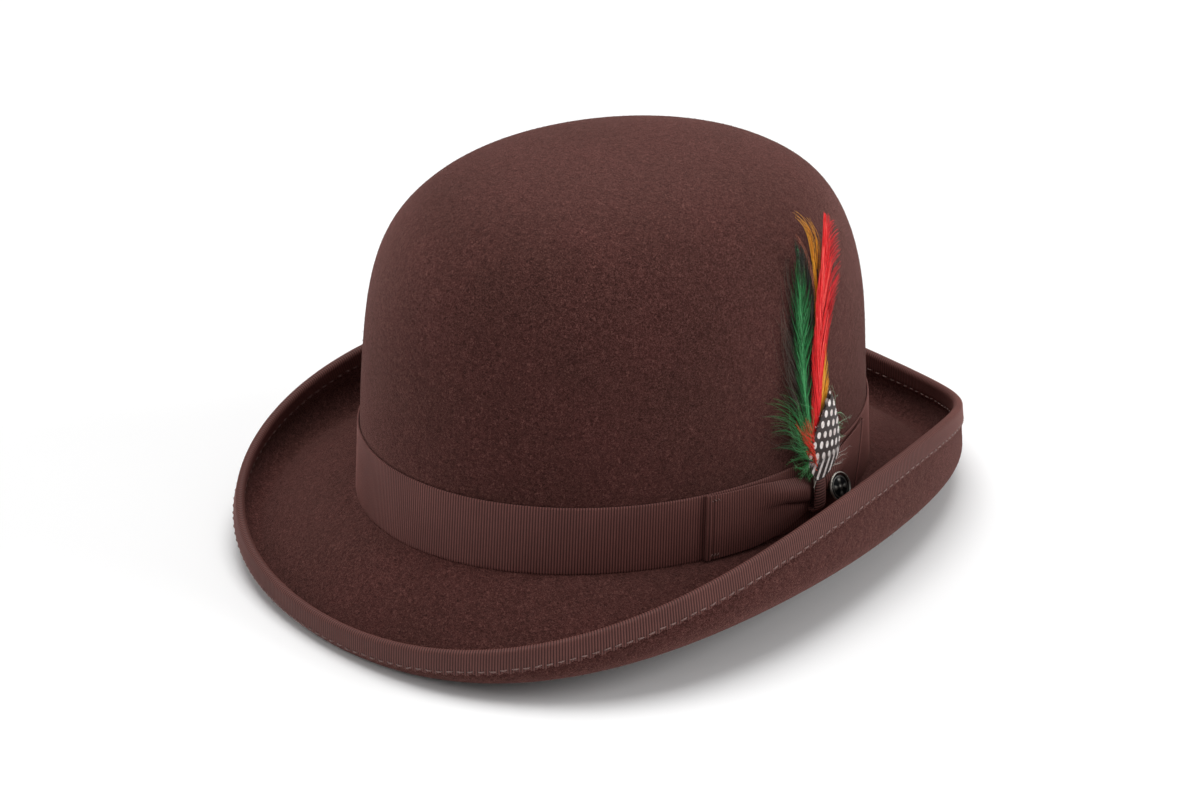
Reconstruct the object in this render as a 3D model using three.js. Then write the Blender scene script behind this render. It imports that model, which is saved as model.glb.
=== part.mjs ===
// A wool-felt bowler hat: domed crown, curled brim with a bound edge, ribbon band with a flat bow,
// a metal button and a feather spray tucked under the knot of the bow, sweatband and satin lining.
// Millimetres. +X is the wearer's left, +Y the back, +Z up; z = 0 is the table under the brim.
import * as THREE from "three";

// ---- driving dimensions ----
const AROUND = 48; // stations round the hat
const BREAK_HALF_WIDTH = 85; // outside of the crown at the break, where brim and crown meet
const BREAK_HALF_LENGTH = 106;
const CROWN_HEIGHT = 127; // break to the top of the dome
const SIDE_POWERS = [5.7, 3.0]; // roundness of the dome seen from the front
const LONG_POWERS = [6.2, 3.2]; // roundness of the dome seen from the side
const LONG_TAPER = 0.09; // the crown narrows a little upwards in its length
const FELT = 2.2; // thickness
const GAP = 0.3; // clearance between touching pieces

const BREAK_ABOVE_TABLE = 22.65;
const BREAK_PITCH = -3.5; // the break is higher in front than behind
const RIM_OVERHANG = { mean: 36.1, pitch: -4.1, oval: -6.6, pinch: -5.8, square: -1.9, fifth: 0.5 };
const RIM_RISE = { mean: 8.7, pitch: 8.2, oval: 15.1, pinch: 3.0, square: -1.9, fifth: -1.2 };
const RIM_SLOPE = { mean: 100.4, pitch: 1, oval: 2.3, pinch: -7.2, square: 0.4, fifth: 0 };
const ROLL_BOTTOM = { mean: -12.2, pitch: 2.7, oval: 6.6, pinch: -1.0, square: -0.6, fifth: -0.9 };
const ROLL_RADIUS = { mean: 8.7, pitch: 1.5, oval: 2.3, pinch: 0, square: 0, fifth: 0 };
const BACK = { bottom: -5.65, slope: -10 }; // the back rolls as low as the front
const BRIM_BELLY = 10; // degrees the flat of the brim swells upwards at the break
const ROLL_START = -6; // degrees the roll leaves the line of the brim
const BINDING_REACH = 6.8; // how far the folded ribbon covers each face of the brim
const BINDING = 0.5;
const THREAD = 0.5;
const SEAM_INSET = 0.9;

const RIBBON = 0.6;
const BAND_BOTTOM = 1.6; // above the break
const BAND_TOP = 28.2;

const KNOT_ANGLE = 12.5; // degrees behind the wearer's left
const KNOT_WIDTH = 6;
const KNOT_TOP = 22.4;
const WALL_PER_RADIAN = 104.7; // length round the crown at the bow
const WING_HALF_ANGLE = 28;
const WING_THICKNESS = 1.2;
const WING_LIFT = 2.6; // middle of the wing, out from the crown
const WAIST_HALF = 5.6;
const WING_HALF_HEIGHT = 13.2;
const WING_MIDDLE = 15.2;

const BUTTON_ANGLE = 18;
const BUTTON_HEIGHT = 14;
const BUTTON_LIFT = 6.8;
const BUTTON_RADIUS = 5.9;
const BUTTON_TILT = 23; // degrees up
const BUTTON_TURN = 10; // degrees behind the wearer's left

const SPRAY_ANGLE = 15;
const SIDE_RADIUS = 132; // bend of the crown wall under the spray
const SPRAY_BEND = 8.75e-6; // the feathers lean in over the dome with the cube of their height
const FEATHER = 0.5;

const FRAME_SHIFT = -2.59; // brings the middle of the brim's length to y = 0

const LINING = 0.4;
const SWEATBAND = 0.9;
const SWEATBAND_HEIGHT = 42;
const REED = 1.1;

// ---- shape of the hat ----
const TURN = 2 * Math.PI;
const rad = THREE.MathUtils.degToRad;
const lerp = THREE.MathUtils.lerp;

// A value that changes round the hat and is the same on its left and right.
function roundHat(term, angle) {
  return (
    term.mean +
    term.pitch * Math.sin(angle) +
    term.oval * Math.cos(2 * angle) +
    term.pinch * Math.sin(3 * angle) +
    term.square * Math.cos(4 * angle) +
    term.fifth * Math.sin(5 * angle)
  );
}

function outward(angle) {
  const x = Math.cos(angle) * BREAK_HALF_LENGTH;
  const y = Math.sin(angle) * BREAK_HALF_WIDTH;
  return new THREE.Vector3(x, y, 0).normalize();
}

function breakHeight(angle) {
  return BREAK_ABOVE_TABLE + BREAK_PITCH * Math.sin(angle);
}

// A point on the crown: level runs from 0 at the break to 1 at the top, offset is out of the felt.
function crownPoint(angle, level, offset) {
  const side = Math.pow(Math.max(0, 1 - Math.pow(level, SIDE_POWERS[0])), 1 / SIDE_POWERS[1]);
  const long = Math.pow(Math.max(0, 1 - Math.pow(level, LONG_POWERS[0])), 1 / LONG_POWERS[1]);
  const x = (BREAK_HALF_WIDTH + offset) * side * Math.cos(angle);
  const y = (BREAK_HALF_LENGTH + offset) * (1 - LONG_TAPER * level) * long * Math.sin(angle);
  const z = breakHeight(angle) + (CROWN_HEIGHT - BREAK_PITCH * Math.sin(angle) + offset) * level;
  return new THREE.Vector3(x, y, z);
}

// A point on the crown wall at a height above the break.
function wallPoint(angle, height, offset) {
  const point = crownPoint(angle, Math.max(0, height) / CROWN_HEIGHT, offset);
  point.z = breakHeight(angle) + height;
  return point;
}

// The middle of the brim felt in the upright plane through the break: x is out, y is up.
// The flat of the brim runs into a round roll, and a straight lip stands on the roll.
function brimCurve(angle) {
  const behind = Math.max(0, Math.sin(angle)) ** 4;
  const rimSlope = rad(roundHat(RIM_SLOPE, angle) + BACK.slope * behind);
  const radius = roundHat(ROLL_RADIUS, angle);
  const rim = new THREE.Vector2(
    roundHat(RIM_OVERHANG, angle),
    BREAK_ABOVE_TABLE + roundHat(RIM_RISE, angle),
  );
  const rollY = BREAK_ABOVE_TABLE + roundHat(ROLL_BOTTOM, angle) + BACK.bottom * behind + radius;
  const lip = (rim.y - rollY + radius * Math.cos(rimSlope)) / Math.sin(rimSlope);
  const rollX = rim.x - radius * Math.sin(rimSlope) - lip * Math.cos(rimSlope);
  const onRoll = (slope) =>
    new THREE.Vector2(rollX + radius * Math.sin(slope), rollY - radius * Math.cos(slope));
  const foot = new THREE.Vector2(0, breakHeight(angle));
  const chord = onRoll(rad(-30)).sub(foot);
  const slope = Math.atan2(chord.y, chord.x);
  const rollSlope = slope + rad(ROLL_START);
  const start = onRoll(rollSlope);
  const handle = 0.36 * start.distanceTo(foot);
  const heading = (bearing) => new THREE.Vector2(Math.cos(bearing), Math.sin(bearing));
  const curve = new THREE.CurvePath();
  curve.add(
    new THREE.CubicBezierCurve(
      foot,
      heading(slope + rad(BRIM_BELLY)).multiplyScalar(handle).add(foot),
      heading(rollSlope).multiplyScalar(-handle).add(start),
      start,
    ),
  );
  const quarter = Math.PI / 2;
  curve.add(
    new THREE.EllipseCurve(rollX, rollY, radius, radius, rollSlope - quarter, rimSlope - quarter),
  );
  curve.add(new THREE.LineCurve(onRoll(rimSlope), rim));
  return curve;
}

// A point of the brim: back from the rim along the felt, offset up out of the middle of the felt.
function brimPoint(angle, curve, back, offset) {
  const length = curve.getLength();
  const at = THREE.MathUtils.clamp((length - back) / length, 0, 1);
  const middle = curve.getPointAt(at);
  const along = curve.getTangentAt(at);
  const past = Math.max(0, -back);
  const out = middle.x - along.y * offset + along.x * past;
  const up = middle.y + along.x * offset + along.y * past;
  const foot = new THREE.Vector3(BREAK_HALF_WIDTH * Math.cos(angle), BREAK_HALF_LENGTH * Math.sin(angle), 0);
  return foot.addScaledVector(outward(angle), out).setZ(up);
}

// ---- making closed bodies ----
const bodies = new THREE.Group();

// Turns the faces outwards and adds the finished body under its name.
function addBody(name, points, faces, colour, roughness, metalness) {
  let volume = 0;
  for (const [a, b, c] of faces) {
    volume += points[a].dot(points[b].clone().cross(points[c]));
  }
  const index = faces.flatMap(([a, b, c]) => (volume < 0 ? [a, c, b] : [a, b, c]));
  const geometry = new THREE.BufferGeometry().setFromPoints(points).setIndex(index);
  geometry.translate(0, FRAME_SHIFT, 0);
  const material = new THREE.MeshStandardMaterial({ color: colour, roughness, metalness });
  const mesh = new THREE.Mesh(geometry, material);
  mesh.name = name;
  bodies.add(mesh);
}

// Skins a row of equal rings of points. The row joins up with itself, or ends in two flat fans.
function skin(name, rings, joined, look) {
  const count = rings[0].length;
  const points = rings.flat();
  const faces = [];
  const spans = joined ? rings.length : rings.length - 1;
  for (let span = 0; span < spans; span++) {
    const here = span * count;
    const next = ((span + 1) % rings.length) * count;
    for (let i = 0; i < count; i++) {
      const j = (i + 1) % count;
      faces.push([here + i, next + i, next + j], [here + i, next + j, here + j]);
    }
  }
  if (!joined) {
    for (const [first, flip] of [[0, false], [(rings.length - 1) * count, true]]) {
      const middle = points.slice(first, first + count).reduce((sum, p) => sum.add(p), new THREE.Vector3());
      points.push(middle.divideScalar(count));
      for (let i = 0; i < count; i++) {
        const fan = [points.length - 1, first + i, first + ((i + 1) % count)];
        faces.push(flip ? [fan[0], fan[2], fan[1]] : fan);
      }
    }
  }
  addBody(name, points, faces, ...look);
}

const stations = Array.from({ length: AROUND }, (_, i) => (i * TURN) / AROUND);
const brimCurves = stations.map(brimCurve);

function ringOf(place) {
  return stations.map((angle, i) => place(angle, brimCurves[i]));
}

const crownRing = (level, offset) => ringOf((angle) => crownPoint(angle, level, offset));
const wallRing = (height, offset) => ringOf((angle) => wallPoint(angle, height, offset));

// A ring of brim points; nothing of it goes below the table.
function brimRing(backOf, offset) {
  return ringOf((angle, curve) => {
    const point = brimPoint(angle, curve, backOf(curve.getLength()), offset);
    point.z = Math.max(0, point.z);
    return point;
  });
}

// ---- looks: colour, roughness, metalness ----
const FELT_LOOK = [0x4a2d2a, 0.95, 0];
const RIBBON_LOOK = [0x4c302e, 0.7, 0];
const THREAD_LOOK = [0x6e5450, 0.8, 0];
const SATIN_LOOK = [0x3a2622, 0.4, 0];
const LEATHER_LOOK = [0x4b3024, 0.55, 0];
const PEWTER_LOOK = [0x8d8a86, 0.35, 0.9];
const DARK_METAL_LOOK = [0x26282a, 0.4, 0.8];

// ---- felt body ----
const WALL_LEVELS = [0.16, 0.33, 0.49, 0.63, 0.74, 0.81];
const TOP_LEVELS = [0.86, 0.91, 0.95, 0.979, 0.993, 0.999];
const CROWN_LEVELS = [...WALL_LEVELS, ...TOP_LEVELS];
const BRIM_SHARES = [0.9, 0.78, 0.66, 0.55, 0.46, 0.4, 0.35, 0.3, 0.25, 0.2, 0.16];
const RIM_BACKS = [BINDING_REACH, BINDING_REACH / 2, 0];

function brimRings(offset) {
  const body = BRIM_SHARES.map((share) => brimRing((length) => share * length, offset));
  return body.concat(RIM_BACKS.map((back) => brimRing(() => back, offset)));
}

// The half round that closes an edge of the given half thickness, from the upper to the lower face.
function rimRound(half, bends) {
  return bends.map((bend) => brimRing(() => -half * Math.sin(rad(bend)), half * Math.cos(rad(bend))));
}

function feltBody() {
  const outside = [...CROWN_LEVELS].reverse().map((level) => crownRing(level, 0));
  const inside = CROWN_LEVELS.map((level) => crownRing(level, -FELT));
  const rings = [
    ...outside,
    wallRing(FELT / 2 + 0.15, 0),
    ...brimRings(FELT / 2),
    ...rimRound(FELT / 2, [45, 90, 135]),
    ...brimRings(-FELT / 2).reverse(),
    wallRing(-FELT / 2 + 0.2, -0.6),
    wallRing(1, -FELT),
    ...inside,
  ];
  skin("felt_body", rings, false, FELT_LOOK);
}

// ---- brim binding and its two stitched lines ----
function brimBinding() {
  const inner = FELT / 2 + GAP;
  const outer = inner + BINDING;
  const bends = [45, 90, 135];
  const rings = [
    ...RIM_BACKS.map((back) => brimRing(() => back, inner)),
    ...rimRound(inner, bends),
    ...[...RIM_BACKS].reverse().map((back) => brimRing(() => back, -inner)),
    ...RIM_BACKS.map((back) => brimRing(() => back, -outer)),
    ...rimRound(outer, [...bends].reverse()),
    ...[...RIM_BACKS].reverse().map((back) => brimRing(() => back, outer)),
  ];
  skin("brim_binding", rings, true, RIBBON_LOOK);
}

function bindingSeam(name, face) {
  const lift = FELT / 2 + 2 * GAP + BINDING + THREAD / 2 + 0.1;
  const back = BINDING_REACH - SEAM_INSET;
  const half = THREAD / 2;
  const corners = [[half, 0], [0, half], [-half, 0], [0, -half]];
  const rings = corners.map(([along, out]) => brimRing(() => back + along, face * (lift + out)));
  skin(name, rings, true, THREAD_LOOK);
}

// ---- hat band ----
function hatBand() {
  const near = GAP;
  const far = GAP + RIBBON;
  const corners = [[BAND_BOTTOM, near], [BAND_BOTTOM, far], [BAND_TOP, far], [BAND_TOP, near]];
  skin("hat_band", corners.map(([height, offset]) => wallRing(height, offset)), true, RIBBON_LOOK);
}

// ---- bow ----
// One wing: a flat loop of ribbon from its folded end to the waist under the knot.
function bowWing(name, direction) {
  const steps = 9;
  const rings = [];
  for (let step = 0; step <= steps; step++) {
    const share = step / steps;
    const angle = rad(KNOT_ANGLE + direction * lerp(WING_HALF_ANGLE, 0.25, share));
    const pinch = THREE.MathUtils.smoothstep(share, 0.3, 0.98);
    const half = lerp(WING_HALF_HEIGHT, WAIST_HALF, pinch);
    const near = WING_LIFT - WING_THICKNESS / 2;
    const far = WING_LIFT + WING_THICKNESS / 2;
    rings.push([
      wallPoint(angle, WING_MIDDLE - half, near),
      wallPoint(angle, WING_MIDDLE - half, far),
      wallPoint(angle, WING_MIDDLE, far),
      wallPoint(angle, WING_MIDDLE + half, far),
      wallPoint(angle, WING_MIDDLE + half, near),
    ]);
  }
  skin(name, rings, false, RIBBON_LOOK);
}

// The strap over the waist of the bow: sewn behind the waist, carried under it and up the front.
// Its top is open behind, as a pocket for the stem of the spray.
function bowKnot() {
  const path = [
    [1.3, 8.2], [3.6, 8.2], [5.1, 8.8], [5.6, 10.6], [5.7, 15], [5.6, 19.6], [5.65, 21.4], [5.6, KNOT_TOP],
  ].map(([offset, height]) => new THREE.Vector2(offset, height));
  const half = KNOT_WIDTH / 2 / WALL_PER_RADIAN;
  const sides = [rad(KNOT_ANGLE) - half, rad(KNOT_ANGLE) + half];
  const rings = path.map((point, i) => {
    const along = path[Math.min(i + 1, path.length - 1)].clone().sub(path[Math.max(i - 1, 0)]).normalize();
    const across = new THREE.Vector2(along.y, -along.x).multiplyScalar(RIBBON / 2);
    const near = point.clone().sub(across);
    const far = point.clone().add(across);
    return [
      wallPoint(sides[0], near.y, near.x),
      wallPoint(sides[1], near.y, near.x),
      wallPoint(sides[1], far.y, far.x),
      wallPoint(sides[0], far.y, far.x),
    ];
  });
  skin("bow_knot", rings, false, RIBBON_LOOK);
}

// ---- button ----
// Turned about its own axis: each profile entry is a distance along the axis and a radius.
function turned(name, profile, joined, look, middle, axis) {
  const sides = 24;
  const facing = new THREE.Quaternion().setFromUnitVectors(new THREE.Vector3(0, 0, 1), axis);
  const rings = profile.map(([along, radius]) =>
    Array.from({ length: sides }, (_, i) => {
      const turn = (i * TURN) / sides;
      const point = new THREE.Vector3(radius * Math.cos(turn), radius * Math.sin(turn), along);
      return point.applyQuaternion(facing).add(middle);
    }),
  );
  skin(name, rings, joined, look);
}

function button() {
  const middle = wallPoint(rad(BUTTON_ANGLE), BUTTON_HEIGHT, BUTTON_LIFT);
  const tilt = rad(BUTTON_TILT);
  const turn = rad(BUTTON_TURN);
  const facing = new THREE.Vector3(
    Math.cos(tilt) * Math.cos(turn),
    Math.cos(tilt) * Math.sin(turn),
    Math.sin(tilt),
  );
  const r = BUTTON_RADIUS;
  const ring = [[-1, r - 1.1], [-1, r - 0.3], [-0.6, r], [0.5, r], [0.9, r - 0.4], [0.7, r - 1.1]];
  turned("button_rim", ring, true, PEWTER_LOOK, middle, facing);
  const face = [[-0.9, r - 1.4], [0.25, r - 1.4], [0.45, r - 2.4]];
  turned("button_face", face, false, DARK_METAL_LOOK, middle, facing);
  const seat = wallPoint(rad(BUTTON_ANGLE), BUTTON_HEIGHT, 0);
  const shank = [[WING_LIFT + WING_THICKNESS / 2 + GAP, 1.5], [BUTTON_LIFT - 0.9 - GAP - 0.5, 1.5]];
  turned("button_shank", shank, false, PEWTER_LOOK, seat, outward(rad(BUTTON_ANGLE)));
}

// ---- feather spray ----
// across: along the crown towards the back; up: from the break; lift: out from the crown wall.
function sprayPoint(across, up, lift) {
  const angle = rad(SPRAY_ANGLE);
  const out = outward(angle);
  const tangent = new THREE.Vector3(-out.y, out.x, 0);
  const point = wallPoint(angle, 0, 0);
  point.addScaledVector(tangent, across);
  point.addScaledVector(out, lift - SPRAY_BEND * up ** 3 - across ** 2 / (2 * SIDE_RADIUS));
  point.z += up;
  return point;
}

// A feather: each station gives its height, its left edge and its right edge.
function feather(name, lift, stationsUp, look) {
  const rings = stationsUp.map(([up, left, right]) => {
    const middle = (left + right) / 2;
    return [
      sprayPoint(left, up, lift),
      sprayPoint(middle, up, lift + FEATHER / 2),
      sprayPoint(right, up, lift),
      sprayPoint(middle, up, lift - FEATHER / 2),
    ];
  });
  skin(name, rings, false, look);
}

const FIRST_LIFT = 2.2;
const LAYER = 0.85; // one feather to the next

function sprayFeathers() {
  const layer = (n) => FIRST_LIFT + n * LAYER;
  feather("ginger_hackle", layer(1), [
    [24, -6, -5], [60, -4, -2], [90, -1, 3], [104, -1, 7], [116, -2, 7], [123, -3, -1],
  ], [0xb8742a, 0.7, 0]);
  feather("lime_wisp", layer(0), [
    [25, 0, 1.5], [32, 3, 16], [40, 3, 17], [48, 2, 9], [57, 1, 3],
  ], [0x5f9a72, 0.8, 0]);
  feather("dark_hackle", layer(2), [
    [25, -9.5, -8.5], [48, -15, -11], [66, -15, -8], [84, -9, -3], [100, -6, 0], [108, -6, -5],
  ], [0x24271c, 0.75, 0]);
  feather("red_hackle_rear", layer(2), [
    [24, -3.5, -2.5], [50, -4, -2], [76, 0, 4], [92, 4, 17], [104, 8, 21], [113, 14, 21],
  ], [0xb01f2c, 0.7, 0]);
  feather("green_hackle", layer(3), [
    [24, -8, -7], [50, -14, -11], [64, -16, -11], [78, -16, -8], [92, -12, -4], [104, -8, -4], [112, -6, -5],
  ], [0x2a7a45, 0.65, 0]);
  feather("yellow_hackle", layer(3), [
    [24, -5.5, -4.5], [48, -6, 0], [56, -5, 1], [66, -2, 1], [74, 0, 2],
  ], [0xe09a2c, 0.65, 0]);
  feather("red_hackle", layer(4), [
    [24, -8.5, -7.5], [34, -11, -7], [60, -10, -3], [78, -6, 3], [94, 0, 9], [108, 8, 14], [118, 14, 15.5],
  ], [0xd8242f, 0.6, 0]);
  feather("red_fluff", layer(5), [
    [29, -14, -12.6], [38, -17, -13], [46, -21, -13], [52, -20, -14],
  ], [0xc22a33, 0.75, 0]);
  feather("guinea_feather", layer(5), [
    [23.6, -9, -6], [28, -11, 1], [34, -12, 6], [42, -10, 5], [50, -5, 2.5], [55, -1.5, -0.5],
  ], [0x2a1a18, 0.7, 0]);
  feather("green_fluff", layer(6), [
    [27, -16, -9], [36, -25, -10], [46, -27, -12], [56, -28, -12], [66, -26, -15], [78, -26, -22],
  ], [0x2f7d45, 0.8, 0]);
}

// The bundled quills, pushed down between the waist of the bow and its strap.
function sprayStem() {
  const half = 0.7;
  const lift = 4.25;
  const rings = [10, 16, 21.4].map((up) => {
    const corners = [[-1.4, 0], [0, half], [1.4, 0], [0, -half]];
    return corners.map(([across, out]) => sprayPoint(across - 5.3, up, lift + out));
  });
  skin("spray_stem", rings, false, [0xd8cdb8, 0.6, 0]);
}

function sprayWrap() {
  const ring = (radius, up) =>
    Array.from({ length: 12 }, (_, i) => {
      const turn = (i * TURN) / 12;
      return sprayPoint(-5.3 + 1.3 * radius * Math.cos(turn), up, 4.25 + 0.8 * radius * Math.sin(turn));
    });
  const rings = [ring(0.45, 22), ring(0.95, 22), ring(0.95, 22.9), ring(0.45, 22.9)];
  skin("spray_wrap", rings, true, [0xcfc9bd, 0.45, 0.2]);
}

// ---- lining ----
const LINING_OFFSET = -FELT - GAP;

// A ring part of the way from the top of the wall to the start of the top, on the same facets.
function shoulderRing(share, offset) {
  const below = crownRing(WALL_LEVELS.at(-1), offset);
  const above = crownRing(TOP_LEVELS[0], offset);
  return below.map((point, i) => point.lerp(above[i], share));
}

function liningSide() {
  const skinRings = (offset) => [
    ...[0.1, ...WALL_LEVELS].map((level) => crownRing(level, offset)),
    shoulderRing(0.92, offset),
  ];
  const inner = skinRings(LINING_OFFSET - LINING).reverse();
  skin("lining_side", [...skinRings(LINING_OFFSET), ...inner], true, SATIN_LOOK);
}

function liningTip() {
  const outer = TOP_LEVELS.map((level) => crownRing(level, LINING_OFFSET));
  const inner = TOP_LEVELS.map((level) => crownRing(level, LINING_OFFSET - LINING));
  skin("lining_tip", [...outer.reverse(), ...inner], false, SATIN_LOOK);
}

function liningPiping() {
  const offset = LINING_OFFSET - LINING - GAP - 1.1;
  const corners = [[0.85, 0], [0.855, 0.5], [0.86, 0], [0.855, -0.5]];
  const rings = corners.map(([level, out]) => crownRing(level, offset + out));
  skin("lining_piping", rings, true, [0x2a1a17, 0.5, 0]);
}

// ---- sweatband ----
const SWEATBAND_OFFSET = LINING_OFFSET - LINING - GAP;

function sweatband() {
  const heights = [2, SWEATBAND_HEIGHT / 2, SWEATBAND_HEIGHT];
  const lean = (height) => SWEATBAND_OFFSET - 0.02 * height;
  const outer = heights.map((height) => wallRing(height, lean(height)));
  const inner = [...heights].reverse().map((height) => wallRing(height, lean(height) - SWEATBAND));
  skin("sweatband", [...outer, ...inner], true, LEATHER_LOOK);
}

function sweatbandReed() {
  const half = REED / 2;
  const middle = [1, SWEATBAND_OFFSET - half];
  const corners = [0, 72, 144, 216, 288].map((turn) => [
    middle[0] + half * Math.sin(rad(turn)),
    middle[1] + half * Math.cos(rad(turn)),
  ]);
  skin("sweatband_reed", corners.map(([height, offset]) => wallRing(height, offset)), true, LEATHER_LOOK);
}

// The small ribbon bow that covers the seam of the sweatband at the back.
function sweatbandBow() {
  const rings = [-9, -5, -1, 1, 5, 9].map((across) => {
    const angle = Math.PI / 2 - across / (BREAK_HALF_WIDTH * 0.95);
    const half = Math.abs(across) < 2 ? 1.8 : 3.6;
    const near = SWEATBAND_OFFSET - SWEATBAND - 0.24 - GAP - 0.3;
    return [
      wallPoint(angle, 9 - half, near),
      wallPoint(angle, 9 + half, near),
      wallPoint(angle, 9 + half, near - 1),
      wallPoint(angle, 9 - half, near - 1),
    ];
  });
  skin("sweatband_bow", rings, false, SATIN_LOOK);
}

// ---- the hat ----
feltBody();
brimBinding();
bindingSeam("binding_seam_inner", 1);
bindingSeam("binding_seam_outer", -1);
hatBand();
bowWing("bow_front_wing", -1);
bowWing("bow_rear_wing", 1);
bowKnot();
button();
sprayFeathers();
sprayStem();
sprayWrap();
liningSide();
liningTip();
liningPiping();
sweatband();
sweatbandReed();
sweatbandBow();

export default bodies;
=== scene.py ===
"""Looks of a felt bowler hat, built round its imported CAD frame. Lengths in the code are millimetres."""

import math

import bpy
import numpy as np
from mathutils import Matrix, Vector


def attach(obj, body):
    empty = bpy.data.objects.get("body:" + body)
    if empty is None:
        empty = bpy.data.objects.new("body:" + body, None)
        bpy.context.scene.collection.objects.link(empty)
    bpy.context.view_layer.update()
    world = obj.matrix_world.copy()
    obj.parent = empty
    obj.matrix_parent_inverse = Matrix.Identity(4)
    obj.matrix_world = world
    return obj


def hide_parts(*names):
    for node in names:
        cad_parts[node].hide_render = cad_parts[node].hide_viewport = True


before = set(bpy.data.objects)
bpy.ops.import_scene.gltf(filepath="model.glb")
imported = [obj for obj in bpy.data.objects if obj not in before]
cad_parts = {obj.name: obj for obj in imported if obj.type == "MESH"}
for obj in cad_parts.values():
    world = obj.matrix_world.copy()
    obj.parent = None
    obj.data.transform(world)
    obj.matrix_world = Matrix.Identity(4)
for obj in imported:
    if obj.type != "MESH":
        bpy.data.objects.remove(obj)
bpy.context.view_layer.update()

MM = 0.001
TURN = 2 * math.pi

# ---- the hat's shape, as in the CAD part ----
BREAK_HALF_WIDTH, BREAK_HALF_LENGTH, CROWN_HEIGHT = 85.0, 106.0, 127.0
SIDE_POWERS, LONG_POWERS, LONG_TAPER = (5.7, 3.0), (6.2, 3.2), 0.09
FELT = 2.2
BREAK_ABOVE_TABLE, BREAK_PITCH = 22.65, -3.5
RIM_OVERHANG = (36.1, -4.1, -6.6, -5.8, -1.9, 0.5)
RIM_RISE = (8.7, 8.2, 15.1, 3.0, -1.9, -1.2)
RIM_SLOPE = (100.4, 1.0, 2.3, -7.2, 0.4, 0.0)
ROLL_BOTTOM = (-12.2, 2.7, 6.6, -1.0, -0.6, -0.9)
ROLL_RADIUS = (8.7, 1.5, 2.3, 0.0, 0.0, 0.0)
BACK_BOTTOM, BACK_SLOPE = -5.65, -10.0
BRIM_BELLY, ROLL_START = 10.0, -6.0
BINDING_REACH = 6.8
BAND_BOTTOM, BAND_TOP = 1.6, 28.2
SHIFT_Y = -2.59
WALL_PER_DEGREE = 104.7 * math.pi / 180
SPRAY_ANGLE, SIDE_RADIUS, SPRAY_BEND = 15.0, 132.0, 8.75e-6
FIRST_LIFT, LAYER = 2.2, 0.85
RIB = 1.05  # from one rib of the ribbon to the next


def round_hat(term, a):
    mean, pitch, oval, pinch, square, fifth = term
    return (
        mean
        + pitch * np.sin(a)
        + oval * np.cos(2 * a)
        + pinch * np.sin(3 * a)
        + square * np.cos(4 * a)
        + fifth * np.sin(5 * a)
    )


def outward(a):
    v = np.stack([np.cos(a) * BREAK_HALF_LENGTH, np.sin(a) * BREAK_HALF_WIDTH], -1)
    v = v / np.linalg.norm(v, axis=-1, keepdims=True)
    return np.concatenate([v, np.zeros(v.shape[:-1] + (1,))], -1)


def break_height(a):
    return BREAK_ABOVE_TABLE + BREAK_PITCH * np.sin(a)


def crown_point(a, level, offset):
    a, level, offset = np.broadcast_arrays(*(np.asarray(v, float) for v in (a, level, offset)))
    side = np.maximum(0, 1 - level ** SIDE_POWERS[0]) ** (1 / SIDE_POWERS[1])
    long = np.maximum(0, 1 - level ** LONG_POWERS[0]) ** (1 / LONG_POWERS[1])
    x = (BREAK_HALF_WIDTH + offset) * side * np.cos(a)
    y = (BREAK_HALF_LENGTH + offset) * (1 - LONG_TAPER * level) * long * np.sin(a)
    z = break_height(a) + (CROWN_HEIGHT - BREAK_PITCH * np.sin(a) + offset) * level
    return np.stack([x, y, z], -1)


def wall_point(a, height, offset):
    a, height, offset = np.broadcast_arrays(*(np.asarray(v, float) for v in (a, height, offset)))
    point = crown_point(a, np.maximum(0, height) / CROWN_HEIGHT, offset)
    point[..., 2] = break_height(a) + height
    return point


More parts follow.
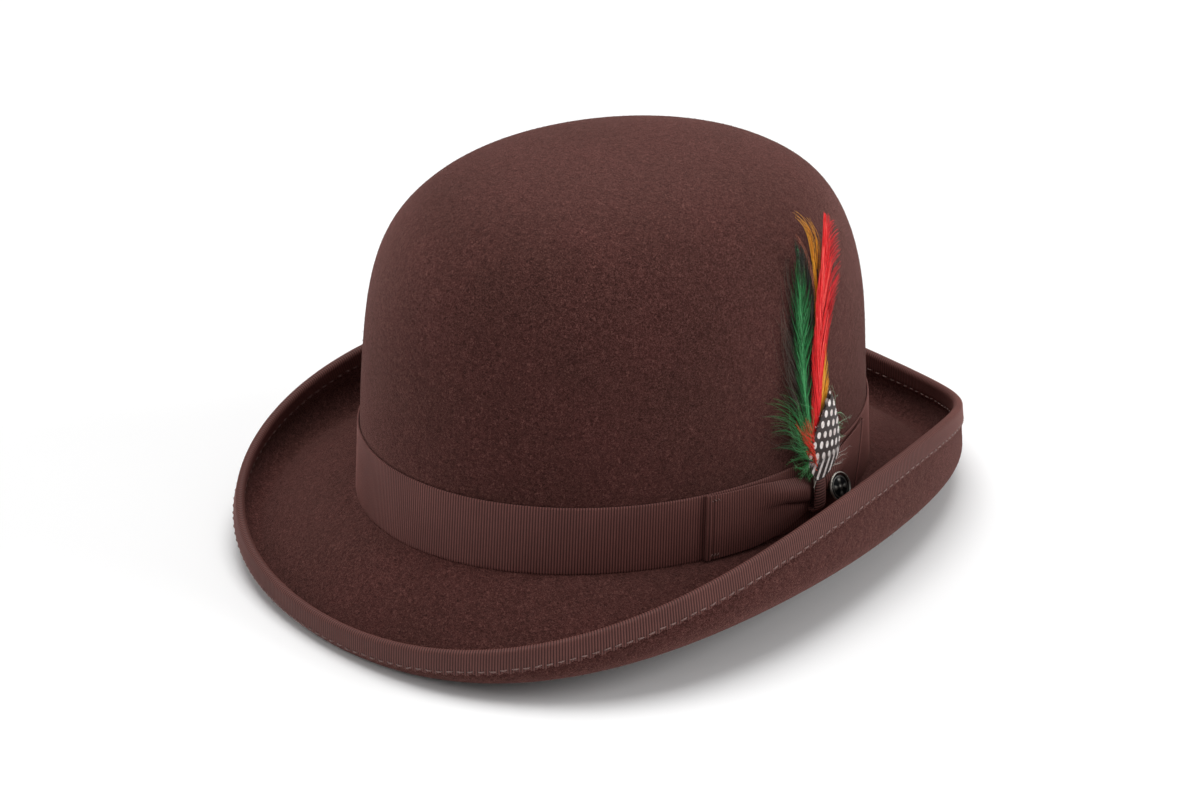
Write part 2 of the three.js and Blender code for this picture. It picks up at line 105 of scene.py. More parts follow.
class Brim:
    """The middle of the brim felt at each angle: a flat, a round roll and a straight lip."""

    def __init__(self, angles):
        a = np.asarray(angles, float)
        self.a = a
        behind = np.maximum(0, np.sin(a)) ** 4
        rim_slope = np.radians(round_hat(RIM_SLOPE, a) + BACK_SLOPE * behind)
        radius = round_hat(ROLL_RADIUS, a)
        rim_x = round_hat(RIM_OVERHANG, a)
        rim_y = BREAK_ABOVE_TABLE + round_hat(RIM_RISE, a)
        roll_y = BREAK_ABOVE_TABLE + round_hat(ROLL_BOTTOM, a) + BACK_BOTTOM * behind + radius
        lip = (rim_y - roll_y + radius * np.cos(rim_slope)) / np.sin(rim_slope)
        roll_x = rim_x - radius * np.sin(rim_slope) - lip * np.cos(rim_slope)

        def on_roll(slope):
            return np.stack([roll_x + radius * np.sin(slope), roll_y - radius * np.cos(slope)], -1)

        def heading(slope):
            return np.stack([np.cos(slope), np.sin(slope)], -1)

        foot = np.stack([np.zeros_like(a), break_height(a)], -1)
        chord = on_roll(np.radians(-30.0)) - foot
        slope = np.arctan2(chord[:, 1], chord[:, 0])
        roll_slope = slope + math.radians(ROLL_START)
        start = on_roll(roll_slope)
        handle = 0.36 * np.linalg.norm(start - foot, axis=-1, keepdims=True)
        belly = slope + math.radians(BRIM_BELLY)
        b, c = foot + heading(belly) * handle, start - heading(roll_slope) * handle
        t = np.linspace(0, 1, 40)[None, :, None]
        flat = (
            foot[:, None] * (1 - t) ** 3
            + 3 * b[:, None] * t * (1 - t) ** 2
            + 3 * c[:, None] * t**2 * (1 - t)
            + start[:, None] * t**3
        )
        way = (
            3 * (b - foot)[:, None] * (1 - t) ** 2
            + 6 * (c - b)[:, None] * t * (1 - t)
            + 3 * (start - c)[:, None] * t**2
        )
        bend = roll_slope[:, None] + (rim_slope - roll_slope)[:, None] * np.linspace(0, 1, 50)[None, 1:]
        arc = np.stack(
            [roll_x[:, None] + radius[:, None] * np.sin(bend),
                roll_y[:, None] - radius[:, None] * np.cos(bend)],
            -1,
        )
        rim = np.stack([rim_x, rim_y], -1)
        end = arc[:, -1]
        line = end[:, None] + (rim - end)[:, None] * np.linspace(0, 1, 8)[None, 1:, None]
        self.xy = np.concatenate([flat, arc, line], 1)
        self.phi = np.concatenate(
            [
                np.arctan2(way[..., 1], way[..., 0]),
                bend,
                np.repeat(rim_slope[:, None], 7, 1),
            ],
            1,
        )
        steps = np.linalg.norm(np.diff(self.xy, axis=1), axis=-1)
        self.s = np.concatenate([np.zeros((len(a), 1)), np.cumsum(steps, 1)], 1)
        self.length = self.s[:, -1]
        self.out = outward(a)
        self.foot = np.stack(
            [BREAK_HALF_WIDTH * np.cos(a), BREAK_HALF_LENGTH * np.sin(a), np.zeros_like(a)], -1
        )

    def points(self, back, offset):
        """Points back from the rim along the felt and offset up out of its middle: (angles, places, 3)."""
        n = len(self.a)
        back = np.broadcast_to(np.asarray(back, float), (n, np.shape(back)[-1]))
        offset = np.broadcast_to(np.asarray(offset, float), back.shape)
        at = np.clip(self.length[:, None] - back, 0, self.length[:, None])
        x, y, phi = (np.empty_like(at) for _ in range(3))
        for i in range(n):
            x[i] = np.interp(at[i], self.s[i], self.xy[i, :, 0])
            y[i] = np.interp(at[i], self.s[i], self.xy[i, :, 1])
            phi[i] = np.interp(at[i], self.s[i], self.phi[i])
        past = np.maximum(0, -back)
        out = x - np.sin(phi) * offset + np.cos(phi) * past
        up = y + np.cos(phi) * offset + np.sin(phi) * past
        p = self.foot[:, None] + self.out[:, None] * out[..., None]
        p[..., 2] = np.maximum(0, up)
        return p


def even_angles(place, count):
    """Angles round the hat that step evenly along the line place(angles)."""
    a = np.linspace(0, TURN, 2881)
    steps = np.linalg.norm(np.diff(place(a), axis=0), axis=-1)
    s = np.concatenate([[0], np.cumsum(steps)])
    return np.interp(np.arange(count) / count * s[-1], s, a), s[-1]


def spray_point(across, up, lift):
    across, up, lift = np.broadcast_arrays(*(np.asarray(v, float) for v in (across, up, lift)))
    angle = np.radians(SPRAY_ANGLE)
    out = outward(np.array(angle))
    tangent = np.array([-out[1], out[0], 0])
    point = wall_point(angle, 0, 0) + tangent * across[..., None]
    reach = lift - SPRAY_BEND * np.maximum(up, 0) ** 3 - across**2 / (2 * SIDE_RADIUS)
    point = point + out * reach[..., None]
    point[..., 2] += up
    return point


SPRAY_OUT = outward(np.array(math.radians(SPRAY_ANGLE)))


# ---- making meshes ----
def make_mesh(name, points, faces, attributes=()):
    mesh = bpy.data.meshes.new(name)
    points = (points.reshape(-1, 3) + (0, SHIFT_Y, 0)) * MM
    mesh.from_pydata(points.tolist(), [], faces)
    mesh.polygons.foreach_set("use_smooth", [True] * len(mesh.polygons))
    for key, values in dict(attributes).items():
        values = np.asarray(values, np.float32)
        kind, field = ("FLOAT", "value") if values.ndim == 1 else ("FLOAT_VECTOR", "vector")
        mesh.attributes.new(key, kind, "POINT").data.foreach_set(field, values.ravel())
    mesh.update()
    obj = bpy.data.objects.new(name, mesh)
    bpy.context.scene.collection.objects.link(obj)
    return obj


def grid_faces(u, v, wrap_u, wrap_v):
    i = np.arange(u if wrap_u else u - 1)[:, None]
    j = np.arange(v if wrap_v else v - 1)[None, :]
    after_i, after_j = (i + 1) % u * v, (j + 1) % v
    return np.stack([i * v + j, after_i + j, after_i + after_j, i * v + after_j], -1).reshape(-1, 4)


def volume(points, faces):
    p = points.reshape(-1, 3)
    q = faces[:, :4]
    one = np.einsum("ij,ij->i", p[q[:, 0]], np.cross(p[q[:, 1]], p[q[:, 2]]))
    two = np.einsum("ij,ij->i", p[q[:, 0]], np.cross(p[q[:, 2]], p[q[:, 3]]))
    return one.sum() + two.sum()


def closed_grid(name, points, wrap_u=True, wrap_v=True, attributes=(), tips=False):
    """A closed body from a grid of points. tips closes the two ends of the v rows with fans."""
    u, v = points.shape[:2]
    faces = grid_faces(u, v, wrap_u, wrap_v)
    flat = points.reshape(-1, 3)
    turn = volume(points - points.mean((0, 1)), faces) < 0
    if turn:
        faces = faces[:, ::-1]
    faces = faces.tolist()
    attributes = {k: np.asarray(w) for k, w in dict(attributes).items()}
    if tips:
        for row, flip in ((0, not turn), (v - 1, turn)):
            middle = points[:, row].mean(0)
            flat = np.concatenate([flat, middle[None]])
            for k, w in attributes.items():
                attributes[k] = np.concatenate([w, w[row : row + 1]])
            last = len(flat) - 1
            for i in range(u):
                a, b = i * v + row, ((i + 1) % u) * v + row
                faces.append([last, b, a] if flip else [last, a, b])
    return make_mesh(name, flat, faces, attributes)


def sheet_body(points, half):
    """Gives an open grid of points a thickness. Returns a grid whose v rows run round the section."""
    normal = np.cross(np.gradient(points, axis=0), np.gradient(points, axis=1))
    normal /= np.maximum(np.linalg.norm(normal, axis=-1, keepdims=True), 1e-9)
    half = np.broadcast_to(np.asarray(half, float), points.shape[:2])[..., None]
    return np.concatenate([points + normal * half, (points - normal * half)[:, ::-1]], 1)


def tubes(name, lines, widths, facing, attributes=(), flat=0.3, sides=3):
    """Many thin tapering fibres as closed tubes: lines (n, m, 3), half widths (n, m), facing (3,)."""
    n, m = lines.shape[:2]
    along = np.gradient(lines, axis=1)
    along /= np.maximum(np.linalg.norm(along, axis=-1, keepdims=True), 1e-9)
    facing = np.broadcast_to(facing, lines.shape)
    side = np.cross(along, facing)
    side /= np.maximum(np.linalg.norm(side, axis=-1, keepdims=True), 1e-9)
    top = np.cross(side, along)
    turns = np.arange(sides) / sides * TURN + math.pi / 2
    w = widths[..., None, None]
    ring = side[:, :, None] * np.cos(turns)[:, None] * w + top[:, :, None] * np.sin(turns)[:,
        None] * w * flat
    points = lines[:, :, None] + ring
    base = (np.arange(n) * m * sides)[:, None, None, None]
    i, j = np.arange(m - 1)[:, None], np.arange(sides)[None, :]
    k = (j + 1) % sides
    quad = np.stack([i * sides + j, i * sides + k, (i + 1) * sides + k, (i + 1) * sides + j], -1)
    quads = (base + quad[None]).reshape(-1, 4).tolist()
    ends = base[:, 0, 0] + np.arange(sides)[::-1][None]
    tips = base[:, 0, 0] + (m - 1) * sides + np.arange(sides)[None]
    faces = quads + ends.tolist() + tips.tolist()
    spread = {k: np.repeat(np.asarray(v), sides, axis=1).reshape(-1) for k, v in dict(attributes).items()}
    return make_mesh(name, points, faces, spread)


def smooth_line(knots, count):
    """A Catmull-Rom line through the knots, sampled evenly in its own measure."""
    k = np.asarray(knots, float)
    seg = np.linalg.norm(np.diff(k, axis=0), axis=-1)
    at = np.concatenate([[0], np.cumsum(seg)]) / seg.sum()
    t = np.linspace(0, 1, count)
    i = np.clip(np.searchsorted(at, t, side="right") - 1, 0, len(k) - 2)
    f = ((t - at[i]) / np.maximum(at[i + 1] - at[i], 1e-9))[:, None]
    p0, p1 = k[np.maximum(i - 1, 0)], k[i]
    p2, p3 = k[i + 1], k[np.minimum(i + 2, len(k) - 1)]
    return 0.5 * (
        2 * p1 + (p2 - p0) * f + (2 * p0 - 5 * p1 + 4 * p2 - p3) * f**2 + (3 * p1 - p0 - 3 * p2 + p3) * f**3
    )


def smoothstep(x, low, high):
    t = np.clip((x - low) / (high - low), 0, 1)
    return t * t * (3 - 2 * t)


# ---- materials ----
class Look:
    """A node material, built step by step."""

    def __init__(self, name, roughness, **sockets):
        self.material = bpy.data.materials.new(name)
        self.material.use_nodes = True
        self.tree = self.material.node_tree
        self.shader = self.tree.nodes["Principled BSDF"]
        self.shader.inputs["Roughness"].default_value = roughness
        for key, value in sockets.items():
            self.shader.inputs[key.replace("_", " ")].default_value = value

    def node(self, kind, **inputs):
        n = self.tree.nodes.new(kind)
        for key, value in inputs.items():
            socket = n.inputs[key.replace("_", " ")]
            if isinstance(value, bpy.types.NodeSocket):
                self.tree.links.new(value, socket)
            else:
                socket.default_value = value
        return n

    def place(self):
        return self.node("ShaderNodeTexCoord").outputs["Object"]

    def attribute(self, name, field="Fac"):
        n = self.node("ShaderNodeAttribute")
        n.attribute_name = name
        return n.outputs[field]

    def math(self, operation, *values):
        n = self.tree.nodes.new("ShaderNodeMath")
        n.operation = operation
        for socket, value in zip(n.inputs, values):
            if isinstance(value, bpy.types.NodeSocket):
                self.tree.links.new(value, socket)
            else:
                socket.default_value = value
        return n.outputs[0]

    def noise(self, scale, detail=3.0, rough=0.55, distortion=0.0):
        n = self.node("ShaderNodeTexNoise", Scale=scale, Detail=detail, Roughness=rough,
            Distortion=distortion)
        self.tree.links.new(self.place(), n.inputs["Vector"])
        return n.outputs["Fac"]

    def ramp(self, value, *stops):
        n = self.node("ShaderNodeValToRGB", Fac=value)
        while len(n.color_ramp.elements) < len(stops):
            n.color_ramp.elements.new(0.5)
        for element, (at, colour) in zip(n.color_ramp.elements, stops):
            element.position = at
            element.color = (*colour, 1) if hasattr(colour, "__len__") else (colour, colour, colour, 1)
        return n.outputs["Color"]

    def mix(self, factor, a, b, blend="MIX"):
        n = self.tree.nodes.new("ShaderNodeMix")
        n.data_type, n.blend_type = "RGBA", blend
        for socket, value in ((n.inputs[0], factor), (n.inputs[6], a), (n.inputs[7], b)):
            if isinstance(value, bpy.types.NodeSocket):
                self.tree.links.new(value, socket)
            elif hasattr(value, "__len__"):
                socket.default_value = (*value, 1)
            else:
                socket.default_value = value
        return n.outputs[2]

    def colour(self, socket):
        self.tree.links.new(socket, self.shader.inputs["Base Color"])

    def rough(self, value, low, high):
        n = self.node("ShaderNodeMapRange", Value=value)
        n.inputs["To Min"].default_value, n.inputs["To Max"].default_value = low, high
        self.tree.links.new(n.outputs[0], self.shader.inputs["Roughness"])

    def bump(self, height, depth, strength=1.0):
        n = self.node("ShaderNodeBump", Height=height, Strength=strength, Distance=depth * MM)
        self.tree.links.new(n.outputs[0], self.shader.inputs["Normal"])


def linear(r, g, b):
    return tuple(((c / 255 + 0.055) / 1.055) ** 2.4 if c > 10 else c / 255 / 12.92 for c in (r, g, b))


def felt_look():
    look = Look("wool_felt", 0.95, Sheen_Weight=0.42, Sheen_Roughness=0.4, Specular_IOR_Level=0.08)
    look.shader.inputs["Sheen Tint"].default_value = (*linear(206, 150, 142), 1)
    fibres = look.noise(1150, 5, 0.68, 1.6)
    flecks = look.noise(2600, 2, 0.5)
    blotch = look.noise(330, 4, 0.65)
    patch = look.noise(26, 2, 0.5)
    base = look.ramp(fibres, (0.33, linear(38, 19, 17)), (0.5, linear(68, 38, 35)),
        (0.67, linear(108, 71, 66)))
    soft = look.ramp(blotch, (0.32, 0.82), (0.68, 1.16))
    base = look.mix(0.75, base, soft, "MULTIPLY")
    wide = look.ramp(patch, (0.3, (0.86, 0.90, 0.86)), (0.7, (1.1, 1.05, 1.06)))
    base = look.mix(0.8, base, wide, "MULTIPLY")
    light = look.ramp(flecks, (0.66, 0.0), (0.78, 1.0))
    look.colour(look.mix(look.math("MULTIPLY", light, 0.35), base, linear(150, 116, 110)))
    look.bump(look.math("ADD", fibres, look.math("MULTIPLY", blotch, 0.8)), 0.5, 0.8)
    return look.material


def ribbon_look(name, dark, light):
    look = Look(name, 0.66, Sheen_Weight=0.24, Sheen_Roughness=0.35, Specular_IOR_Level=0.22)
    look.shader.inputs["Sheen Tint"].default_value = (*linear(206, 156, 148), 1)
    # Painted light: the rib crests take the lighter colour as a painted highlight, and the grooves between
    # the ribs take the darker colour as painted shade.
    groove_shade = look.attribute("groove_shade")
    thread = look.noise(1900, 3, 0.6)
    tone = look.noise(60, 2, 0.5)
    base = look.mix(groove_shade, light, dark)
    base = look.mix(0.5, base, look.ramp(thread, (0.3, 0.72), (0.7, 1.25)), "MULTIPLY")
    look.colour(look.mix(0.5, base, look.ramp(tone, (0.3, 0.85), (0.7, 1.12)), "MULTIPLY"))
    look.rough(thread, 0.5, 0.75)
    look.bump(thread, 0.12, 0.7)
    return look.material


def thread_look():
    look = Look("sewing_thread", 0.6, Sheen_Weight=0.3, Specular_IOR_Level=0.3)
    twist = look.noise(2600, 2, 0.5)
    look.colour(look.ramp(twist, (0.3, linear(74, 48, 44)), (0.7, linear(148, 114, 106))))
    look.bump(twist, 0.1, 0.6)
    return look.material


def barb_look(name, dark, middle, light, rough=0.55, sheen=0.3):
    look = Look(name, rough, Sheen_Weight=sheen, Sheen_Roughness=0.3, Specular_IOR_Level=0.35)
    tone = look.math("ADD", look.attribute("tone"), look.math("MULTIPLY", look.noise(700, 2, 0.5), 0.3))
    tone = look.math("SUBTRACT", tone, 0.15)
    look.colour(look.ramp(tone, (0.05, dark), (0.45, middle), (0.95, light)))
    look.rough(look.noise(900, 2, 0.5), rough - 0.1, rough + 0.12)
    return look.material


def guinea_look():
    """Brown-black barbs with staggered white ovals, and slanting white bars at the foot."""
    look = Look("dotted_feather", 0.55, Sheen_Weight=0.25, Specular_IOR_Level=0.35)
    x, y = look.attribute("across"), look.attribute("up")
    wave = look.math("MULTIPLY", look.math("SUBTRACT", look.noise(190, 1, 0.5), 0.5), 1.1)
    v = look.math("DIVIDE", look.math("ADD", look.math("ADD", y, wave), look.math("MULTIPLY", x, 0.22)), 4.1)
    row = look.math("FLOOR", v)
    odd = look.math("MULTIPLY", look.math("MODULO", row, 2.0), 0.5)
    u = look.math("ADD", look.math("DIVIDE", look.math("SUBTRACT", x, look.math("MULTIPLY", y, 0.12)),
        3.3), odd)
    fu = look.math("SUBTRACT", look.math("FRACT", u), 0.5)
    fv = look.math("SUBTRACT", look.math("FRACT", v), 0.5)
    uneven = look.ramp(look.noise(240, 1, 0.5), (0.3, 0.82), (0.7, 1.22))
    eu = look.math("POWER", look.math("DIVIDE", look.math("ABSOLUTE", fu), 0.29), 2.0)
    ev = look.math("POWER", look.math("DIVIDE", look.math("ABSOLUTE", fv), 0.37), 2.0)
    dots = look.ramp(look.math("MULTIPLY", look.math("ADD", eu, ev), uneven), (0.8, 1.0), (1.0, 0.0))
    slant = look.math("ADD", look.math("MULTIPLY", x, 0.86), look.math("MULTIPLY", y, -0.5))
    bar = look.math("ABSOLUTE", look.math("SUBTRACT",
        look.math("FRACT", look.math("DIVIDE", slant, 3.1)), 0.5))
    bars = look.ramp(bar, (0.16, 1.0), (0.22, 0.0))
    foot = look.ramp(look.math("DIVIDE", y, 60.0), (0.48, 1.0), (0.53, 0.0))
    white = look.mix(foot, dots, bars)
    tone = look.ramp(look.attribute("tone"), (0.1, linear(18, 10, 9)), (0.8, linear(56, 32, 26)))
    pale = look.ramp(look.noise(600, 2, 0.5), (0.3, linear(205, 188, 184)), (0.7, linear(250, 244, 240)))
    look.colour(look.mix(white, tone, pale))
    return look.material


def leather_look():
    look = Look("sweatband_leather", 0.5, Specular_IOR_Level=0.4)
    grain = look.node("ShaderNodeTexVoronoi", Scale=900.0, Vector=look.place())
    tone = look.noise(40, 3, 0.55)
    base = look.ramp(tone, (0.3, linear(74, 46, 32)), (0.7, linear(104, 68, 48)))
    look.colour(look.mix(0.4, base, look.ramp(grain.outputs["Distance"], (0.0, 0.7), (0.5, 1.1)),
        "MULTIPLY"))
    look.rough(grain.outputs["Distance"], 0.62, 0.42)
    look.bump(grain.outputs["Distance"], 0.12, 0.6)
    return look.material


def satin_look():
    look = Look("lining_satin", 0.32, Anisotropic=0.6, Sheen_Weight=0.25, Specular_IOR_Level=0.5)
    weave = look.noise(2400, 2, 0.5)
    tone = look.noise(30, 2, 0.5)
    base = look.ramp(tone, (0.3, linear(52, 32, 28)), (0.7, linear(72, 46, 40)))
    look.colour(look.mix(0.4, base, look.ramp(weave, (0.3, 0.8), (0.7, 1.2)), "MULTIPLY"))
    look.rough(weave, 0.26, 0.4)
    look.bump(weave, 0.05, 0.5)
    return look.material


def metal_look(name, dark, light, roughness):
    look = Look(name, roughness, Metallic=1.0)
    worn = look.math("ADD", look.attribute("relief"), look.math("MULTIPLY", look.noise(500, 4, 0.6), 0.35))
    look.colour(look.ramp(worn, (0.3, dark), (0.95, light)))
    scratches = look.noise(900, 4, 0.65)
    look.rough(scratches, roughness - 0.08, roughness + 0.2)
    look.bump(scratches, 0.04, 0.6)
    return look.material


FELT_LOOK = felt_look()
# For both ribbons the first colour is painted shade for the grooves between the ribs, and the second is a
# painted highlight for the rib crests.
RIBBON = ribbon_look("grosgrain", linear(46, 23, 21), linear(128, 80, 74))
BINDING = ribbon_look("grosgrain_binding", linear(42, 22, 20), linear(116, 72, 66))
THREAD = thread_look()
LEATHER = leather_look()
SATIN = satin_look()
RED = barb_look("red_barbs", linear(168, 6, 14), linear(236, 18, 26), linear(255, 92, 84), sheen=0.04)
CRIMSON = barb_look("crimson_barbs", linear(120, 6, 14), linear(204, 18, 30), linear(240, 60, 62),
    sheen=0.04)
YELLOW = barb_look("yellow_barbs", linear(196, 96, 10), linear(240, 158, 22), linear(255, 196, 70),
    sheen=0.04)
GINGER = barb_look("ginger_barbs", linear(96, 50, 20), linear(206, 124, 30), linear(252, 180, 50),
    sheen=0.06)
SALMON = barb_look("salmon_barbs", linear(70, 36, 26), linear(150, 84, 60), linear(222, 132, 104), sheen=0.1)
GREEN = barb_look("green_barbs", linear(26, 34, 12), linear(28, 112, 54), linear(74, 172, 104), sheen=0.1)
DARK = barb_look("dark_barbs", linear(14, 12, 9), linear(36, 36, 24), linear(84, 80, 64), sheen=0.1)
HAZE = barb_look("brown_hairs", linear(44, 32, 28), linear(74, 60, 52), linear(112, 100, 88), sheen=0.1)
DOWN = barb_look("green_down", linear(14, 74, 30), linear(34, 134, 60), linear(112, 186, 122), sheen=0.1)
PALE_DOWN = barb_look("pale_down", linear(52, 128, 74), linear(86, 174, 108), linear(184, 214, 184),
    sheen=0.15)
SCARLET_DOWN = barb_look("scarlet_down", linear(160, 12, 14), linear(234, 34, 30), linear(250, 110, 76),
    sheen=0.05)
QUILL = barb_look("quills", linear(150, 132, 110), linear(214, 204, 186), linear(244, 240, 230), 0.4)
GUINEA = guinea_look()
PEWTER = metal_look("old_silver", linear(70, 66, 62), linear(176, 170, 162), 0.32)
BLACKENED = metal_look("blackened_metal", linear(34, 35, 37), linear(140, 138, 132), 0.42)


def finish_piece(obj, body, slot, material, *nodes):
    obj.data.materials.append(material)
    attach(obj, body)
    if nodes:
        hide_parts(*nodes)
    return obj


# ---- felt ----
AROUND = 320


def crown_levels(count, apex=0.012):
    """Levels that step evenly along the dome's outline, from the break to a small ring at the top."""
    low = np.linspace(0, 0.8, 400)
    share = np.linspace((1 - 0.8 ** SIDE_POWERS[0]) ** (1 / 3), apex, 600)[1:]
    level = np.concatenate([low, (1 - share**3) ** (1 / SIDE_POWERS[0])])
    side = BREAK_HALF_WIDTH * (1 - level ** SIDE_POWERS[0]) ** (1 / SIDE_POWERS[1])
    s = np.concatenate([[0], np.cumsum(np.hypot(np.diff(side), np.diff(level) * CROWN_HEIGHT))])
    return np.interp(np.linspace(0, s[-1], count), s, level)


def wobble(a, level):
    """The small unevenness of a blocked crown, above the ribbon."""
    return (
        0.22 * np.sin(3 * a + 5 * level) * np.sin(7 * level + 1.0)
        + 0.12 * np.sin(7 * a + 2) * np.sin(13 * level)
    ) * smoothstep(level, 0.28, 0.45) * (1 - smoothstep(level, 0.85, 0.97))


def bezier_rows(p, q, r, count):
    t = np.linspace(0, 1, count + 2)[1:-1]
    return [p * (1 - s) ** 2 + 2 * q * s * (1 - s) + r * s**2 for s in t]


def felt():
    a = np.arange(AROUND) / AROUND * TURN
    brim = Brim(a)
    first = 2.6
    levels = crown_levels(100)
    levels = levels[levels > (first + 0.8) / CROWN_HEIGHT]
    outer = [crown_point(a, level, wobble(a, level)) for level in levels[::-1]]
    outer.append(wall_point(a, first, 0))
    shares = np.linspace(1, 0, 42)[None, :]
    backs = (brim.length[:, None] - first) * shares
    top = brim.points(backs, FELT / 2).transpose(1, 0, 2)
    outer += bezier_rows(outer[-1], wall_point(a, 1.25, 0), top[0], 4)
    outer += list(top)
    for bend in np.radians([20, 45, 70, 90, 110, 135, 160]):
        half = FELT / 2
        outer.append(brim.points([-half * math.sin(bend)], [half * math.cos(bend)])[:, 0])
    under = brim.points(backs[:, ::-1], -FELT / 2).transpose(1, 0, 2)
    outer += list(under)
    inside = wall_point(a, first, -FELT)
    outer += bezier_rows(under[-1], wall_point(a, -FELT / 2, -FELT), inside, 4)
    outer.append(inside)
    outer += [crown_point(a, level, -FELT) for level in levels[::2]]
    points = np.stack(outer, 1)
    shell = closed_grid("felt_shell", points, True, False, tips=True)
    return finish_piece(shell, "hat", "felt", FELT_LOOK, "felt_body")


def nap():
    """Short wool fibres standing out of the felt."""
    rng = np.random.default_rng(11)
    n = 15000
    a, level = rng.random(n) * TURN, crown_levels(400)[rng.integers(85, 399, n)]
    keep = rng.random(n) < (1 - level ** SIDE_POWERS[0]) ** (1 / 3) - 0.02
    a, level = a[keep], level[keep]
    root = crown_point(a, level, wobble(a, level) - 0.05)
    out = crown_point(a, level, 2.0) - crown_point(a, level, 0.0)
    brim_n = 7000
    ba = rng.random(brim_n) * TURN
    brim = Brim(ba)
    back = BINDING_REACH + 0.6 + rng.random(brim_n) * (brim.length - BINDING_REACH - 3)
    face = np.where(rng.random(brim_n) < 0.6, 1.0, -1.0)
    low = brim.points(back[:, None], (face * (FELT / 2 - 0.05))[:, None])[:, 0]
    high = brim.points(back[:, None], (face * (FELT / 2 + 1.0))[:, None])[:, 0]
    root, out = np.concatenate([root, low]), np.concatenate([out, high - low])
    keep = root[:, 2] > 1.2
    root, out = root[keep], out[keep]
    out /= np.maximum(np.linalg.norm(out, axis=-1, keepdims=True), 1e-9)
    lean = rng.normal(size=root.shape)
    lean -= (lean * out).sum(-1, keepdims=True) * out
    lean /= np.linalg.norm(lean, axis=-1, keepdims=True)
    long = 0.45 + 0.6 * rng.random((len(root), 1))
    stand = 0.25 + 0.5 * rng.random((len(root), 1))
    mid = root + (out * stand + lean * 0.5) * long * 0.5
    tip = root + (out * stand * 0.8 + lean) * long
    lines = np.stack([root, mid, tip], 1)
    widths = np.tile([0.035, 0.028, 0.008], (len(root), 1))
    fibres = tubes("felt_nap", lines, widths, out[:, None], flat=1.0)
    return finish_piece(fibres, "hat", "felt", FELT_LOOK)


# ---- binding and its seams ----
def rib_row(count_per_rib, ribs):
    phase = np.arange(ribs * count_per_rib) / count_per_rib * TURN
    return np.cos(phase)


def binding():
    per_rib = 4
    rim = lambda a: Brim(a).points([0.0], [0.0])[:, 0]
    ribs = int(round(even_angles(rim, 4)[1] / RIB))
    a, _ = even_angles(rim, ribs * per_rib)
    brim = Brim(a)
    crest = rib_row(per_rib, ribs)[:, None]
    backs = np.array([6.9, 6.75, 6.3, 5.9, 5.5, 4.6, 3.4, 2.2, 1.0, 0.0])
    lift = np.array([0.20, 0.42, 0.58, 0.40, 0.58, 0.70, 0.68, 0.64, 0.62, 0.62])
    inner = FELT / 2 + 0.05
    bends = np.radians([22, 45, 68, 90, 112, 135, 158])
    edge = np.zeros(len(backs))
    edge[:2] = 0.16
    stitches = int(round(ribs * RIB / 4.1))
    scallop = 0.3 * np.cos(np.arange(len(a)) / len(a) * TURN * stitches)[:, None]
    side_back = backs + edge * crest + np.minimum(1, edge * 9) * scallop
    height = FELT / 2 + lift + 0.11 * crest
    top = brim.points(side_back, height)
    radius = FELT / 2 + 0.62 + 0.11 * crest
    fold = brim.points(-radius * np.sin(bends), radius * np.cos(bends))
    bottom = brim.points(side_back[:, ::-1], -height[:, ::-1])
    lining_back = np.broadcast_to(backs[::-2] - 0.05, (len(a), 5))
    under = brim.points(lining_back[:, ::-1], -np.full(5, inner))
    within = brim.points(-inner * np.sin(bends[::-1]), inner * np.cos(bends[::-1]))
    over = brim.points(lining_back, np.full(5, inner))
    points = np.concatenate([top, fold, bottom, under, within, over], 1)
    # Painted shade in the grooves between the ribs and painted highlight on their crests; the part folded
    # under gets an even middle value.
    groove_shade = np.repeat(0.5 - 0.5 * crest, points.shape[1], 1)
    groove_shade[:, len(backs) + len(bends) + len(backs) :] = 0.5
    body = closed_grid("binding_ribbon", points, True, True, {"groove_shade": groove_shade.ravel()})
    finish_piece(body, "hat", "ribbon", BINDING, "brim_binding")
    return body


def binding_seam(name, node, face):
    rim = lambda a: Brim(a).points([0.0], [0.0])[:, 0]
    pitch, steps = 4.1, 9
    count = int(round(even_angles(rim, 4)[1] / pitch))
    rng = np.random.default_rng(5 if face > 0 else 6)
    start, _ = even_angles(rim, count)
    step = np.diff(np.append(start, TURN))[:, None]
    share = 0.08 + (0.56 + 0.10 * rng.random((count, 1))) * np.linspace(0, 1, steps)[None, :]
    angles = start[:, None] + share * step
    drift = rng.normal(0, 0.10, (count, 1)) + rng.normal(0, 0.12, (count, 1)) * np.linspace(-1, 1,
        steps)[None, :]
    arch = np.sin(np.linspace(0, math.pi, steps)) ** 0.6
    height = np.tile(FELT / 2 + 0.30 + 0.48 * arch, (count, 1))
    brim = Brim(angles.ravel())
    lines = brim.points((5.9 + drift).reshape(-1, 1), (face * height).reshape(-1, 1))[:, 0]
    lines = lines.reshape(count, steps, 3)
    facing = brim.out.reshape(count, steps, 3)
    widths = np.tile(0.22 * np.sin(np.linspace(0.5, math.pi - 0.5, steps)) + 0.03, (count, 1))
    seam = tubes(name, lines, widths, facing, flat=1.0, sides=6)
    return finish_piece(seam, "hat", "thread", THREAD, node)


